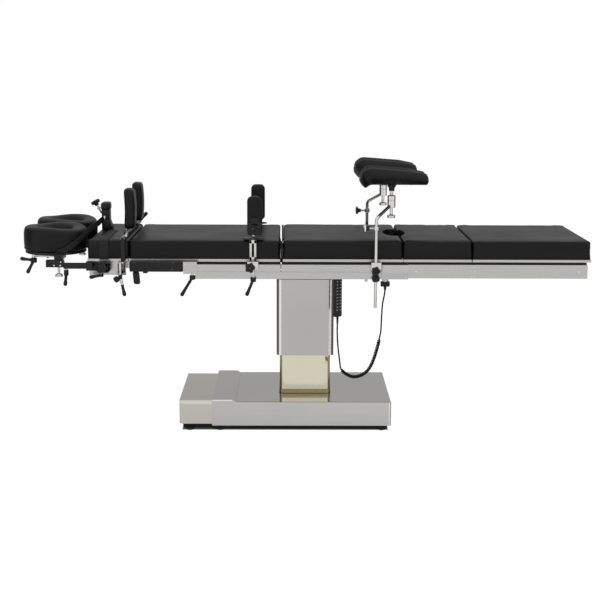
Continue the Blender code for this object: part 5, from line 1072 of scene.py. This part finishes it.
def side_support(side, sign):
    """One support: pad, bracket, knob, post, slotted bar, foot plate and rail clamp."""
    middle = (SIDE_PAD_LOW + SIDE_PAD_HIGH) / 2
    size = SIDE_PAD_HIGH - SIDE_PAD_LOW
    matrix = (Matrix.Translation((middle.x, sign * SIDE_PAD_HIGH.y, middle.z))
              @ Matrix.Rotation(math.pi / 2 * sign, 4, "X"))
    node = "side_pad_" + side
    for made in small_pad(node, size.x, size.z, size.y, 0.015, 0.009, matrix):
        for vert in made.data.vertices:
            rise = max(0.0, (vert.co.z - middle.z) / (size.z / 2)) ** 3
            vert.co.z += SIDE_PAD_ARCH * rise * (1 - ((vert.co.x - middle.x) / (size.x / 2)) ** 2)
    back, front = sign * 0.2590, sign * 0.2752
    detail(node, "bracket", "plastic", slab((-0.2245, back, 0.7880), (-0.1705, front, 0.8370), 0.0065, 4),
           slab((-0.2160, back, 0.8200), (-0.1790, front, 0.8560), 0.0065, 4))
    detail(node, "star", "plastic",
           *side_star(sign, -0.2045, 0.2815, 0.8150, 0.0150, 0.0100, (0.2735, 0.2780, 0.0065)))
    detail(node, "star_screw", "edge_dark",
           screw_shape((-0.2045, sign * 0.2866, 0.8150), (0, sign, 0), 0.0030, 0.0010))
    x, y = SIDE_POST[0], sign * SIDE_POST[1]
    detail(node, "post", "chrome", rod_between((x, y, 0.7752), (x, y, 0.7905), 0.006),
           disc(0.0085, 0, 0.004, (x, y, 0.7835)))

    node = "side_bar_" + side
    back, front = sign * 0.2696, sign * 0.2744
    strips = ((0, 1, BAR_LOW, BAR_HIGH), (2, 3, BAR_LOW, BAR_HIGH), (0, 3, BAR_LOW, BAR_LOW + BAR_BRIDGE),
              (0, 3, BAR_HIGH - BAR_BRIDGE, BAR_HIGH))
    stand_in(node, "slotted", "chrome", *(slab((BAR_X[left], back, low), (BAR_X[right], front, high), 0.0007)
                                          for left, right, low, high in strips))
    plate = disc(1.0, 0, 1.0, (0, 0, 0), ease=0.12, steps=48)
    stand_in(node, "oval", "paint", stretched(plate, (0.0425, 0.029, 0.0050), (x, y, 0.7698)))

    node = "side_clamp_" + side
    stand_in(node, "block", "chrome",
             slab((-0.2250, sign * 0.2903, CLAMP_LOW), (-0.1830, sign * 0.3043, CLAMP_HIGH), 0.0012, 3),
             slab((-0.2235, sign * HOOK_Y[0], 0.6769), (-0.1845, sign * HOOK_Y[1], CLAMP_HIGH), 0.0010))
    stand_in(node, "star", "plastic",
             *side_star(sign, -0.2140, 0.3163, 0.6680, 0.0200, 0.0135, (0.3035, 0.3110, 0.007)))
    detail(node, "screw", "edge_dark",
           screw_shape((-0.2140, sign * 0.3232, 0.6680), (0, sign, 0), 0.0032, 0.0010))


for side, sign in SIDES.items():
    side_support(side, sign)
print("side supports made on both sides")

# %% [markdown]
# ## Knee crutches
#
# A knee crutch is a padded trough on a ball joint, above a bent chrome rod in a rail
# clamp. The rod is a round section swept along its bend, the joint housing is turned,
# and the trough starts as a grid that is curled, given thickness and smoothed.

# %% Knee crutches
KNEE_X, KNEE_Y = 0.268, 0.302
JOINT_X, JOINT_Y = 0.3298, 0.225
KNEE_ROD = 0.00625
T_KNOB_Z = 0.820
TROUGH_X = (0.1990, 0.4685)
TROUGH_FLOOR = 0.979
TROUGH_THICK = 0.041
TROUGH_HALF = 0.0705
TROUGH_THIN = 0.32
TROUGH_SMOOTH = math.radians(60)


def trough(sign):
    """A knee trough: a grid curled at both rims, rounded at its ends and given thickness."""
    bm = bmesh.new()
    bmesh.ops.create_grid(bm, x_segments=26, y_segments=14, size=0.5)
    for vert in bm.verts:
        u, v = vert.co.x + 0.5, vert.co.y * 2
        x = TROUGH_X[0] + (TROUGH_X[1] - TROUGH_X[0]) * u
        end = max(0.0, (u - 0.74) / 0.26)
        start = max(0.0, (0.16 - u) / 0.16)
        slim = math.sqrt(max(0.0, 1 - 0.40 * end ** 2.4)) * math.sqrt(1 - 0.25 * start ** 2)
        pull = 0.010 * (end * abs(v) ** 2.5 - start * abs(v) ** 2.5)
        fall = max(0.0, 1 - (x - TROUGH_X[0]) / 0.055)
        vert.co = (x - pull, sign * JOINT_Y + TROUGH_HALF * v * slim,
                   TROUGH_FLOOR + TROUGH_THICK + 0.027 * v ** 2 * (1 - 0.35 * end) - 0.026 * fall ** 2)
    bmesh.ops.recalc_face_normals(bm, faces=bm.faces)
    if bm.faces[0].normal.z < 0:
        bmesh.ops.reverse_faces(bm, faces=bm.faces)
    bmesh.ops.solidify(bm, geom=bm.verts[:] + bm.edges[:] + bm.faces[:], thickness=TROUGH_THICK)
    for vert in bm.verts:
        u = (vert.co.x - TROUGH_X[0]) / (TROUGH_X[1] - TROUGH_X[0])
        vert.co.z += max(0.0, vert.co.z - TROUGH_FLOOR) * TROUGH_THIN * (0.5 - u)
    return bm


def knee_pad(node, sign):
    """The trough with its cone, pin and foot knob."""
    joint = Vector((JOINT_X, sign * JOINT_Y, 0))
    made = stand_in(node, "cover", None, trough(sign), smooth=TROUGH_SMOOTH)
    smoothed(made, 2)
    stand_in(node, "cone", "plastic",
             turned([(0, 0.9560), (0.0100, 0.9560), (0.0110, 0.9570), (0.0112, 0.9660), (0.0172, 0.9760),
                     (0.0180, 0.9790), (0.0180, 0.9990), (0, 0.9990)], joint))
    stand_in(node, "pin", "chrome", disc(0.0070, 0.9387, 0.9640, joint))
    detail(node, "screw", "chrome", screw_shape((0.4040, sign * JOINT_Y, 0.9815), (0, 0, -1), 0.0040, 0.0035))


def knee_arm(node, sign, knob_look):
    """The bent rod with its joint housing, collar and T knob."""
    rod, joint = Vector((KNEE_X, sign * KNEE_Y, 0)), Vector((JOINT_X, sign * JOINT_Y, 0))
    path = rounded([(rod.x, rod.y, 0.511), (rod.x, rod.y, 0.858), (joint.x, joint.y, 0.903)], 0.025, 12)
    stand_in(
        node, "rod", "chrome", swept(path, KNEE_ROD, 24),
        turned([(0, 0.892), (0.0145, 0.892), (0.0157, 0.8932), (0.0157, 0.9180), (0.0152, 0.9186),
                (0.0152, 0.9200), (0.0157, 0.9206), (0.0157, 0.9366), (0.0145, 0.9380), (0, 0.9380)], joint),
        turned([(0, 0.8515), (0.0140, 0.8515), (0.0155, 0.8530), (0.0155, 0.8612), (0.0140, 0.8627),
                (0.0078, 0.8640), (0.0060, 0.8660), (0.0060, 0.8925), (0, 0.8925)], joint),
        turned([(0, 0.812), (0.0100, 0.812), (0.0110, 0.8130), (0.0110, 0.8270), (0.0100, 0.8280),
                (0, 0.8280)], rod),
        rod_between((rod.x, rod.y, T_KNOB_Z), (0.2310, rod.y, T_KNOB_Z), 0.0040))
    stand_in(node, "handle", knob_look,
             turned([(0, 0), (0.0090, 0), (0.0150, 0.0020), (0.0172, 0.0042), (0.0176, 0.0060),
                     (0.0168, 0.0080), (0.0130, 0.0102), (0.0070, 0.0114), (0, 0.0118)],
                    (0.2300, rod.y, T_KNOB_Z), (-1, 0, 0)))
    detail(node, "handle_collar", "plastic",
           turned([(0, 0), (0.0062, 0), (0.0072, 0.0012), (0.0085, 0.0080), (0.0105, 0.0118), (0, 0.0118)],
                  (0.2418, rod.y, T_KNOB_Z), (-1, 0, 0)))


def knee_clamp(node, sign):
    """The rail clamp, bored for the rod, with a sleeve and two star knobs."""
    rod = Vector((KNEE_X, sign * KNEE_Y, 0))
    block = stand_in(node, "block", "chrome",
                     slab((0.2502, sign * 0.2903, 0.6576), (0.2889, sign * 0.3123, 0.6887), 0.0014, 3),
                     slab((0.2517, sign * HOOK_Y[0], 0.6769), (0.2874, sign * HOOK_Y[1], 0.6887), 0.0010))
    cut_with(block, rod_between((rod.x, rod.y, 0.650), (rod.x, rod.y, 0.700), 0.0069, 24))
    shaded(block.data)
    stand_in(node, "sleeve", "plastic",
             turned([(0.0069, 0.6560), (0.0104, 0.6560), (0.0112, 0.6552), (0.0112, 0.6370),
                     (0.0104, 0.6360), (0.0092, 0.6350), (0.0092, 0.6134), (0.0084, 0.6126),
                     (0.0069, 0.6126), (0.0069, 0.6560)], rod),
             star_shape((rod.x, rod.y, 0.6240), (0, 0, 1), 0.0160, 0.0200))
    stand_in(node, "star", "plastic",
             *side_star(sign, KNEE_X, 0.3190, 0.6560, 0.0180, 0.0110, (0.3100, 0.3160, 0.008)))


for side, sign in SIDES.items():
    knee_pad("knee_pad_" + side, sign)
    # The near T knob's head takes the painted highlight steel and the far one plain black plastic: a painted
    # highlight on one copy of the same knob.
    knee_arm("knee_arm_" + side, sign, "edge_bright" if side == "near" else "plastic")
    knee_clamp("knee_clamp_" + side, sign)
print("knee crutches made on both sides")

# %% [markdown]
# ## Shoulder supports
#
# Two tall pads stand on sliders along a bar that crosses the head section, bright at its
# near end and black beyond. Each pad is bowed a little along its height.

# %% Shoulder supports
SHOULDER_X = (-0.7084, -0.6677)
SHOULDER_Z = (0.7955, 0.9543)
SHOULDER_Y = 0.130
SHOULDER_BOW = 0.0045
STEM_X = -0.703
thick, tall = SHOULDER_X[1] - SHOULDER_X[0] - 0.002, SHOULDER_Z[1] - SHOULDER_Z[0] - 0.002
for side, sign in SIDES.items():
    node = "shoulder_pad_" + side
    centre = Vector((SHOULDER_X[0] + 0.001, sign * SHOULDER_Y, sum(SHOULDER_Z) / 2))
    matrix = (Matrix.Translation(centre) @ Matrix.Rotation(math.pi / 2, 4, "Y")
              @ Matrix.Rotation(math.pi / 2, 4, "Z"))
    for made in small_pad(node, 0.084, tall, thick, 0.018, 0.012, matrix):
        for vert in made.data.vertices:
            vert.co.x += SHOULDER_BOW * (math.cos((vert.co.z - centre.z) / tall * math.pi) - 1)
    detail(node, "stem", "chrome",
           rod_between((STEM_X, centre.y, 0.7825), (STEM_X, centre.y, 0.8080), 0.0058),
           disc(0.0090, 0, 0.005, (STEM_X, centre.y, 0.7885)))
    if side == "near":
        detail(node, "stay", "chrome",
               rod_between((-0.6915, -0.2680, 0.7838), (-0.6925, -0.1500, 0.8080), 0.0050))
    start, end = centre.y - 0.018, centre.y + 0.018
    detail(node, "slider", "paint", slab((-0.7153, start, 0.7703), (-0.7113, end, 0.7823)),
           slab((-0.6947, start, 0.7703), (-0.6907, end, 0.7823)),
           slab((-0.7153, start, 0.7783), (-0.6907, end, 0.7823)))
node = "shoulder_bar"
stand_in(node, "near", "chrome", slab((-0.7110, -0.2820, 0.7700), (-0.6950, -0.1500, 0.7780), 0.0012))
stand_in(node, "far", "paint", slab((-0.7110, -0.1502, 0.7700), (-0.6950, 0.2760, 0.7780), 0.0012),
         slab((-0.7110, -0.2825, 0.6862), (-0.6950, -0.2755, 0.7785), 0.0024, 3))
stand_in(node, "clamp", "steel_rail", slab((-0.7220, -0.2980, 0.6400), (-0.6980, -0.2468, 0.6830), 0.0020, 3),
         slab((-0.7220, -0.2980, 0.6400), (-0.6980, -0.2630, 0.6862), 0.0020, 3))
print("shoulder pads", round(tall, 3), "m tall")

# %% [markdown]
# ## Head section
#
# The head section is a steel board with two side plates. Black bars reach out from it to
# the blocks that carry the ring cushions. The CAD has both in one solid, so that solid is
# taken apart here by a test on its faces: steel for the board, black for the bars.

# %% Head frame
BLOCK_SCREWS = ((-0.9660, 0.6715, 0.0030), (-0.9420, 0.6715, 0.0030), (-0.9400, 0.6850, 0.0024))


def is_black(point):
    """Whether a point lies on the ring bars rather than on the board or its side plates."""
    return abs(point.y) > 0.2475 and point.z < 0.682 or point.x < -0.845


refined("head_frame", "board", "steel_rail", keep=lambda point: not is_black(point))
refined("head_frame", "arms", "paint", keep=is_black)
for side, sign in SIDES.items():
    piece("ring_bar_root_" + side,
          [slab((-0.8500, sign * 0.2464, 0.6455), (-0.7560, sign * 0.2560, 0.6820), 0.0020, 3)],
          "head_frame", "paint", slot="black_paint")
    for x, z, radius in BLOCK_SCREWS:
        piece("ring_block_screw_%s_%d" % (side, round(-x * 1000 + z * 10)),
              [screw_shape((x, sign * 0.2921, z), (0, sign, 0), radius, 0.0012)], "head_frame", "chrome")
print("head frame parted into board and arms")

# %% [markdown]
# ## Ring arms
#
# Each ring cushion lies on a round plate with a link, a pivot pin and a knob below its
# block, and a twin clamp whose two levers stick out towards the head end.

# %% Ring arms
PIN_X, PIN_Y = -0.950, 0.280
TWIN_X, TWIN_Y, TWIN_Z = -1.0615, 0.200, 0.6775
TWIN_TIPS = ((-0.0460, 0.0060), (-0.0240, -0.0450))
for side, sign in SIDES.items():
    node = "ring_arm_" + side
    pin, twin = Vector((PIN_X, sign * PIN_Y, 0)), Vector((TWIN_X, sign * TWIN_Y, TWIN_Z))
    stand_in(node, "plate", "paint",
             turned([(0.052, 0.7044), (0.052, 0.7130), (0.0527, 0.7137), (0.1178, 0.7137), (0.1185, 0.7130),
                     (0.1185, 0.7044), (0.1178, 0.7037), (0.0527, 0.7037), (0.052, 0.7044)],
                    (-0.9855, sign * 0.135, 0), steps=72),
             slab((-0.966, sign * 0.203, 0.6917), (-0.934, sign * 0.288, 0.7122), 0.0012, 3))
    stand_in(node, "pin", "chrome", rod_between((pin.x, pin.y, 0.6285), (pin.x, pin.y, 0.6934), 0.005),
             disc(0.0148, 0.627, 0.6338, pin, ease=0.0014), disc(0.0105, 0.6335, 0.6382, pin),
             disc(0.0062, 0.6860, 0.7052, (twin.x, twin.y, 0)),
             rod_between((twin.x, twin.y, 0.6960), (-0.9700, sign * 0.2240, 0.6970), 0.0050))
    black = [disc(0.0122, -0.0090, 0.0100, twin, ease=0.0022)]
    for along, up in TWIN_TIPS:
        end = twin + Vector((along, 0, up))
        black += [grip_shape(twin.lerp(end, GRIP_SHARE / 2), end),
                  rod_between(twin, twin.lerp(end, GRIP_SHARE), LEVER_ROD)]
    stand_in(node, "twin_levers", "plastic", *black)
print("ring arms made")

# %% [markdown]
# ## Post, star knob and straps
#
# A moulded post stands on the head cushion, with a star knob on a slanted stem. One strap
# runs from the clamp on the near side over the cushion to the post's foot. A second one
# ties the head end of the frame to the post.
# A strap is a flat section laid along a path, with a woven look that follows its own map.

# %% Post and straps
STRAP_SIDES = 12
STRAP_X = -0.7785
TIE_ROUTE = ((-0.9570, -0.2860, 0.6880), (-0.9620, -0.2650, 0.7060), (-0.9215, -0.2470, 0.7300),
             (-0.8874, -0.2178, 0.7540), (-0.8664, -0.1832, 0.7750), (-0.8590, -0.1572, 0.7850),
             (-0.8330, -0.0300, 0.8030), (-0.8292, 0.0300, 0.8070), (-0.8292, 0.0600, 0.8070))
TIE_STEP = 0.008
POST_X, POST_Y = (-0.8270, -0.7950), (0.022, 0.078)


def strap(name, path, wide, thick, sideways, node):
    """A flat strap along a path, its width along one direction, mapped in metres."""
    across = Vector(sideways)
    bm = bmesh.new()
    rings = []
    for point, way in zip(path, ways_along(path)):
        turn = Matrix((across, across.cross(way).normalized(), way)).transposed().to_4x4()
        ring = circle(bm, 0.5, STRAP_SIDES, Matrix.Rotation(math.pi / STRAP_SIDES, 4, "Z"))
        for vert in ring:
            flat = Vector((math.copysign(abs(2 * vert.co.x) ** 0.5, vert.co.x) * wide / 2,
                           math.copysign(abs(2 * vert.co.y) ** 0.5, vert.co.y) * thick / 2, 0))
            vert.co = Matrix.Translation(point) @ turn @ flat
        rings.append(ring)
    mesh = piece(name, [skinned(bm, rings)], node, "webbing").data
    laid = mesh.uv_layers.new(name="laid flat")
    reach = reaches(path)

    def away(index, spot):
        gap = path[index] - spot
        return (gap - across * gap.dot(across)).length

    for loop in mesh.loops:
        spot = mesh.vertices[loop.vertex_index].co
        index = min(range(len(path)), key=lambda index: away(index, spot))
        laid.data[loop.index].uv = ((spot - path[0]).dot(across), reach[index])


foot = slab((POST_X[0], POST_Y[0], 0.7682), (POST_X[1], POST_Y[1], 0.8120), 0.0045, 3)
for vert in foot.verts:
    vert.co.x += 0.012 * (vert.co.x > sum(POST_X) / 2) * (vert.co.z < 0.79)
stand_in("head_post", "column", "plastic", foot,
         slab((POST_X[0] + 0.0004, POST_Y[0] + 0.0004, 0.7990), (POST_X[1], POST_Y[1], 0.8600), 0.0045, 3),
         slab((POST_X[0] - 0.0028, POST_Y[0] - 0.0028, 0.8470),
              (POST_X[1] + 0.0028, POST_Y[1] + 0.0028, 0.8798), 0.010, 5))
detail("head_post", "buckle", "chrome",
       slab((-0.8175, POST_Y[0] - 0.0020, 0.8090), (-0.8115, POST_Y[0] + 0.0010, 0.8260), 0.0006))
knob_way = Vector((-0.470, 0, 0.883)).normalized()
knob_foot = Vector((-0.8270, 0.05, 0.828)) + knob_way * 0.0062
stand_in("post_knob", "stem", "chrome", rod_between(knob_foot, knob_foot + knob_way * 0.046, 0.0036),
         disc(0.0072, 0, 0.006, knob_foot + knob_way * 0.020, knob_way))
stand_in("post_knob", "star", "plastic", star_shape(knob_foot + knob_way * 0.052, knob_way, 0.0195, 0.0150),
         disc(0.0085, 0, 0.014, knob_foot + knob_way * 0.036, knob_way, 0.002))

over = rounded([(STRAP_X, -0.2635, 0.6905), (STRAP_X, -0.2635, 0.7692), (STRAP_X, 0.0190, 0.7692)], 0.009)
strap("head_strap", over, 0.036, 0.0020, (1, 0, 0), "strap_clamp")
strap("head_tie", route_through(TIE_ROUTE, step=TIE_STEP), 0.026, 0.0022, (0, 0, 1), "strap_clamp")
stand_in("strap_clamp", "body", "paint",
         slab((-0.8000, -0.2995, 0.6437), (-0.7570, -0.2475, 0.6830), 0.0040, 3),
         slab((-0.8000, -0.2995, 0.6437), (-0.7570, -0.2630, 0.6865), 0.0040, 3),
         star_shape((STRAP_X, -0.3045, 0.6640), (0, -1, 0), 0.0195, 0.0110))
print("post, knob, head strap and tie strap made")

# %% [markdown]
# ## Grip of the rail box
#
# The hanging grip is a rounded block that leans a little towards its foot.

# %% Rail box grip
GRIP_LEAN = 0.004
low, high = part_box("box_grip")
grip = slab(low, high, 0.0080, 5)
for vert in grip.verts:
    vert.co.x += GRIP_LEAN * (high.z - vert.co.z) / (high.z - low.z)
stand_in("box_grip", "handle", "plastic", grip)

# %% [markdown]
# ## Hand control
#
# A moulded box with two columns of small keys. The keys are caps on the face that
# looks to the near side, each with a pale mark, and carry no lettering.

# %% Hand control
CONTROL = Vector((0.1264, -0.200, 0))
CONTROL_TURN = math.radians(35)
KEY_ROWS = 10
KEY_COLUMNS = (-0.0082, 0.0082)
KEY_LOW, KEY_STEP = 0.4840, 0.0126
CAP = (0.0048, 0.0040, -0.0097, -0.0080, 0.0006)
MARK = (0.0026, 0.0011, -0.0101, -0.0095, 0.0002)
refined("hand_control", "finished", "plastic", 0.0010)
face = Matrix.Translation(CONTROL) @ Matrix.Rotation(CONTROL_TURN, 4, "Z")


def on_keys(wide, tall, front, back, edge):
    """The same small slab at the place of every key."""
    levels = [KEY_LOW + row * KEY_STEP for row in range(KEY_ROWS)]
    return [moved(slab((column - wide, front, level - tall), (column + wide, back, level + tall), edge), face)
            for level in levels for column in KEY_COLUMNS]


detail("hand_control", "keys", "key", *on_keys(*CAP))
detail("hand_control", "marks", "mark", *on_keys(*MARK))
print("hand control with", KEY_ROWS, "rows of keys")

# %% [markdown]
# ## Screws, seams and panel lines
#
# The last small things tell the size of the rest: screws on the rails and end plates,
# thin bands of painted highlight and painted shade on the column's corners, its gasket and a collar of
# painted shade at its foot, the lines and the folded seam of the base, levelling feet, black strips of painted
# shade in the gaps and the fuses of the mains inlet.

# %% Small fasteners and panel lines
SIDE_SCREWS = (
    ("leg_rail_screws_", "leg_frame",
     [(x, 0.2781, z) for x in (0.640, 0.652) for z in (0.6300, 0.6500, 0.6690)], 0.0030, "chrome"),
    ("leg_rail_end_screws_", "leg_frame", [(x, 0.2781, 0.6495) for x in (0.425, 1.055)], 0.0040, "chrome"),
    ("beam_screws_", "chassis_frame", [(-0.405, 0.2886, 0.6343), (0.384, 0.2912, 0.6290)], 0.0030, "chrome"),
    ("seat_rail_screws_", "seat_frame", [(x, 0.2901, 0.6628) for x in (-0.070, 0.100)], 0.0026, "steel_rail"))
SLEEVE_RADIUS = 0.020
BAND_LIFT = 0.0002
BAND_THICK = 0.0004
UPPER_SLEEVE, MID_SLEEVE = (0.115, 0.120), (0.102, 0.110)
UPPER_Z, MID_Z = (0.2812, 0.5890), (0.0720, 0.4380)
COLLAR_HOLE = (0.1026, 0.1106, 0.0205)
FEET_X, FEET_Y = (-0.458, -0.337, 0.304), 0.2200
BOARD_EDGE = 0.262
# Painted shade: black strips set in the gaps under the boards and in the hinge slit, so that the gaps read
# dark.
PAINTED_SHADE_Y = 0.246
PAINTED_SHADE_Z = (0.6535, 0.6836)
LEG_PAINTED_SHADE_LOW = 0.6762
PAINTED_SHADE_STRIPS = (("seat", (-0.0940, 0.3940), BOARD_EDGE, PAINTED_SHADE_Z[0]),
          ("back", (-0.4300, -0.0975), BOARD_EDGE, PAINTED_SHADE_Z[0]),
          ("leg", (0.3950, 1.0880), 0.2632, LEG_PAINTED_SHADE_LOW))


def screw_row(name, node, places, sign, radius, height=0.0016, look="chrome"):
    """Several like screws on one side of the table as one piece."""
    screws = [screw_shape((x, sign * y, z), (0, sign, 0), radius, height) for x, y, z in places]
    piece(name, screws, node, look)


def corner_band(half, angles, heights):
    """A thin band round one upright corner, spun from a line and given thickness, to carry a painted highlight
    or painted shade.
    """
    centre = Vector((abs(half[0]) - SLEEVE_RADIUS, abs(half[1]) - SLEEVE_RADIUS, 0))
    start = centre + (SLEEVE_RADIUS + BAND_LIFT) * Vector((math.sin(angles[0]), math.cos(angles[0]), 0))
    bm = bmesh.new()
    line = [bm.verts.new((start.x, start.y, height)) for height in heights]
    edge = bm.edges.new(line)
    bmesh.ops.spin(bm, geom=line + [edge], cent=centre, axis=(0, 0, -1), angle=angles[1] - angles[0], steps=8)
    bmesh.ops.solidify(bm, geom=bm.verts[:] + bm.edges[:] + bm.faces[:], thickness=BAND_THICK)
    bmesh.ops.scale(bm, vec=(math.copysign(1, half[0]), math.copysign(1, half[1]), 1), verts=bm.verts)
    return bm


def corner_bands(name, node, half, angles, heights, look):
    """The same band on all four corners of a sleeve."""
    angles = [math.radians(angle) for angle in angles]
    piece(name, [corner_band((half[0] * x, half[1] * y), angles, heights) for x in (-1, 1) for y in (-1, 1)],
          node, look)


def upright_block(x, y, low, high, radius):
    """A block about the column's axis with round upright corners."""
    return slab((-x, -y, low), (x, y, high), radius, 6, True)


def on_sides(start, end, edge):
    """The same slab on both sides of the table."""
    return [slab((start[0], sign * start[1], start[2]), (end[0], sign * end[1], end[2]), edge)
            for sign in (-1, 1)]


for side, sign in SIDES.items():
    for name, node, places, radius, look in SIDE_SCREWS:
        screw_row(name + side, node, places, sign, radius, look=look)
screw_row("end_plate_screws", "back_frame",
          [(x, 0.2976, z) for x in (-0.464, -0.426) for z in (0.6480, 0.6800)], -1, 0.0026)
detail("rail_box", "stop", "rubber", disc(0.0100, 0.6415, 0.6490, (-0.618, -0.2800, 0), ease=0.0022))
screw_row("rail_box_screws", "rail_box",
          [(-0.514, 0.2961, 0.6585), (-0.509, 0.2961, 0.6840), (-0.660, 0.2961, 0.6840)], -1, 0.0022, 0.0008,
          "edge_dark")
# Painted highlight and painted shade in thin bands round the column's corners.
corner_bands("column_bright_edges", "upper_sleeve", UPPER_SLEEVE, (2, 29), UPPER_Z, "edge_bright")
corner_bands("column_painted_shade_bands", "upper_sleeve", UPPER_SLEEVE, (34, 89), UPPER_Z, "edge_dark")
corner_bands("sleeve_painted_shade_bands", "mid_sleeve", MID_SLEEVE, (30, 89), MID_Z, "edge_brown")
gasket = piece("column_foot_gasket", [upright_block(0.1045, 0.1125, 0.1192, 0.1212, 0.022)], "base_cover",
               "rubber", slot="rubber")
# A thin collar shell in painted sleeve shade: it darkens the band of the column just above the base.
painted_shade_collar = piece("column_foot_painted_shade_collar", [upright_block(0.1034, 0.1114, 0.1214, 0.1380, 0.0212)], "base_cover",
              "edge_brown")
for collar, top in ((gasket, 0.1300), (painted_shade_collar, 0.1500)):
    cut_with(collar, upright_block(*COLLAR_HOLE[:2], 0.1100, top, COLLAR_HOLE[2]))
for side, sign in SIDES.items():
    # Thin strips on the base: the bright ones are painted highlights on its edges, the dark ones a dark line
    # along the top edge and a painted shade beside the right corner's highlight.
    back, front = sign * 0.2448, sign * 0.2464
    piece("base_dark_lines_" + side, [slab((-0.2740, back, 0.1188), (0.3400, front, 0.1203), 0.0003),
                                      slab((0.3376, back, 0.0260), (0.3406, front, 0.1186), 0.0003)],
          "base_cover", "edge_dark")
    piece("base_bright_lines_" + side, [slab((-0.3680, back, 0.1230), (-0.2880, front, 0.1283), 0.0006),
                                        slab((0.3330, back, 0.0260), (0.3372, front, 0.1184), 0.0003)],
          "base_cover", "edge_bright")
piece("levelling_feet", [disc(0.0165, 0.0006, 0.0120, (x, y, 0), ease=0.0030) for x in FEET_X
                         for y in (-FEET_Y, FEET_Y)], "foot_strip_left", "rubber")
piece("base_top_seam", [slab((-0.2756, -0.2440, 0.1198), (-0.2748, 0.2440, 0.1203), 0)], "base_cover",
      "edge_dark")
# Black strips of painted shade in the board gaps.
for name, (start, end), reach, low in PAINTED_SHADE_STRIPS:
    piece(name + "_gap_painted_shade", on_sides((start, PAINTED_SHADE_Y, low), (end, reach, PAINTED_SHADE_Z[1]), 0.0005),
          name + "_frame", "rubber", slot="rubber")
piece("hinge_gap_painted_shade", on_sides((-0.0965, 0.2466, 0.6942), (-0.0893, 0.2575, 0.7630), EASE), "seat_frame",
      "rubber", slot="rubber")
for side, sign in SIDES.items():
    plate = slab((0.2895, sign * 0.2901, 0.6212), (0.3942, sign * 0.2911, 0.6764), 0.0004)
    piece("end_plate_" + side, [plate], "chassis_frame", "steel_rail")
detail("mains_inlet", "frame", "rubber", slab((-0.5040, -0.042, 0.0815), (-0.5028, 0.042, 0.0985), 0.0005))
detail("mains_inlet", "fuses", "chrome", *(rod_between((-0.5060, y, 0.0900), (-0.5035, y, 0.0900), 0.0022)
                                           for y in (-0.030, -0.020, 0.020, 0.030)))
print("fasteners placed")

# %% [markdown]
# ## Finishes for the CAD pieces that stay
#
# A CAD node keeps its mesh and its place. Only its material slots are filled here, from
# the record's slot, with the grain turned to suit large plates and long rails.

# %% Finish the frame
NODE_LOOK = {"base_cover": "steel_top", "base_end_cover": "steel_warm", "upper_sleeve": "steel_plate",
             "mid_sleeve": "champagne", "base_sleeve": "champagne", "chassis_frame": "steel_rail"}
for node, thing in nodes.items():
    chosen = LOOKS[NODE_LOOK.get(node, SLOT_LOOK[slot_of[node]])]
    if thing.material_slots:
        for material_slot in thing.material_slots:
            material_slot.material = chosen
    else:
        thing.data.materials.append(chosen)
print(len(nodes), "frame nodes finished")
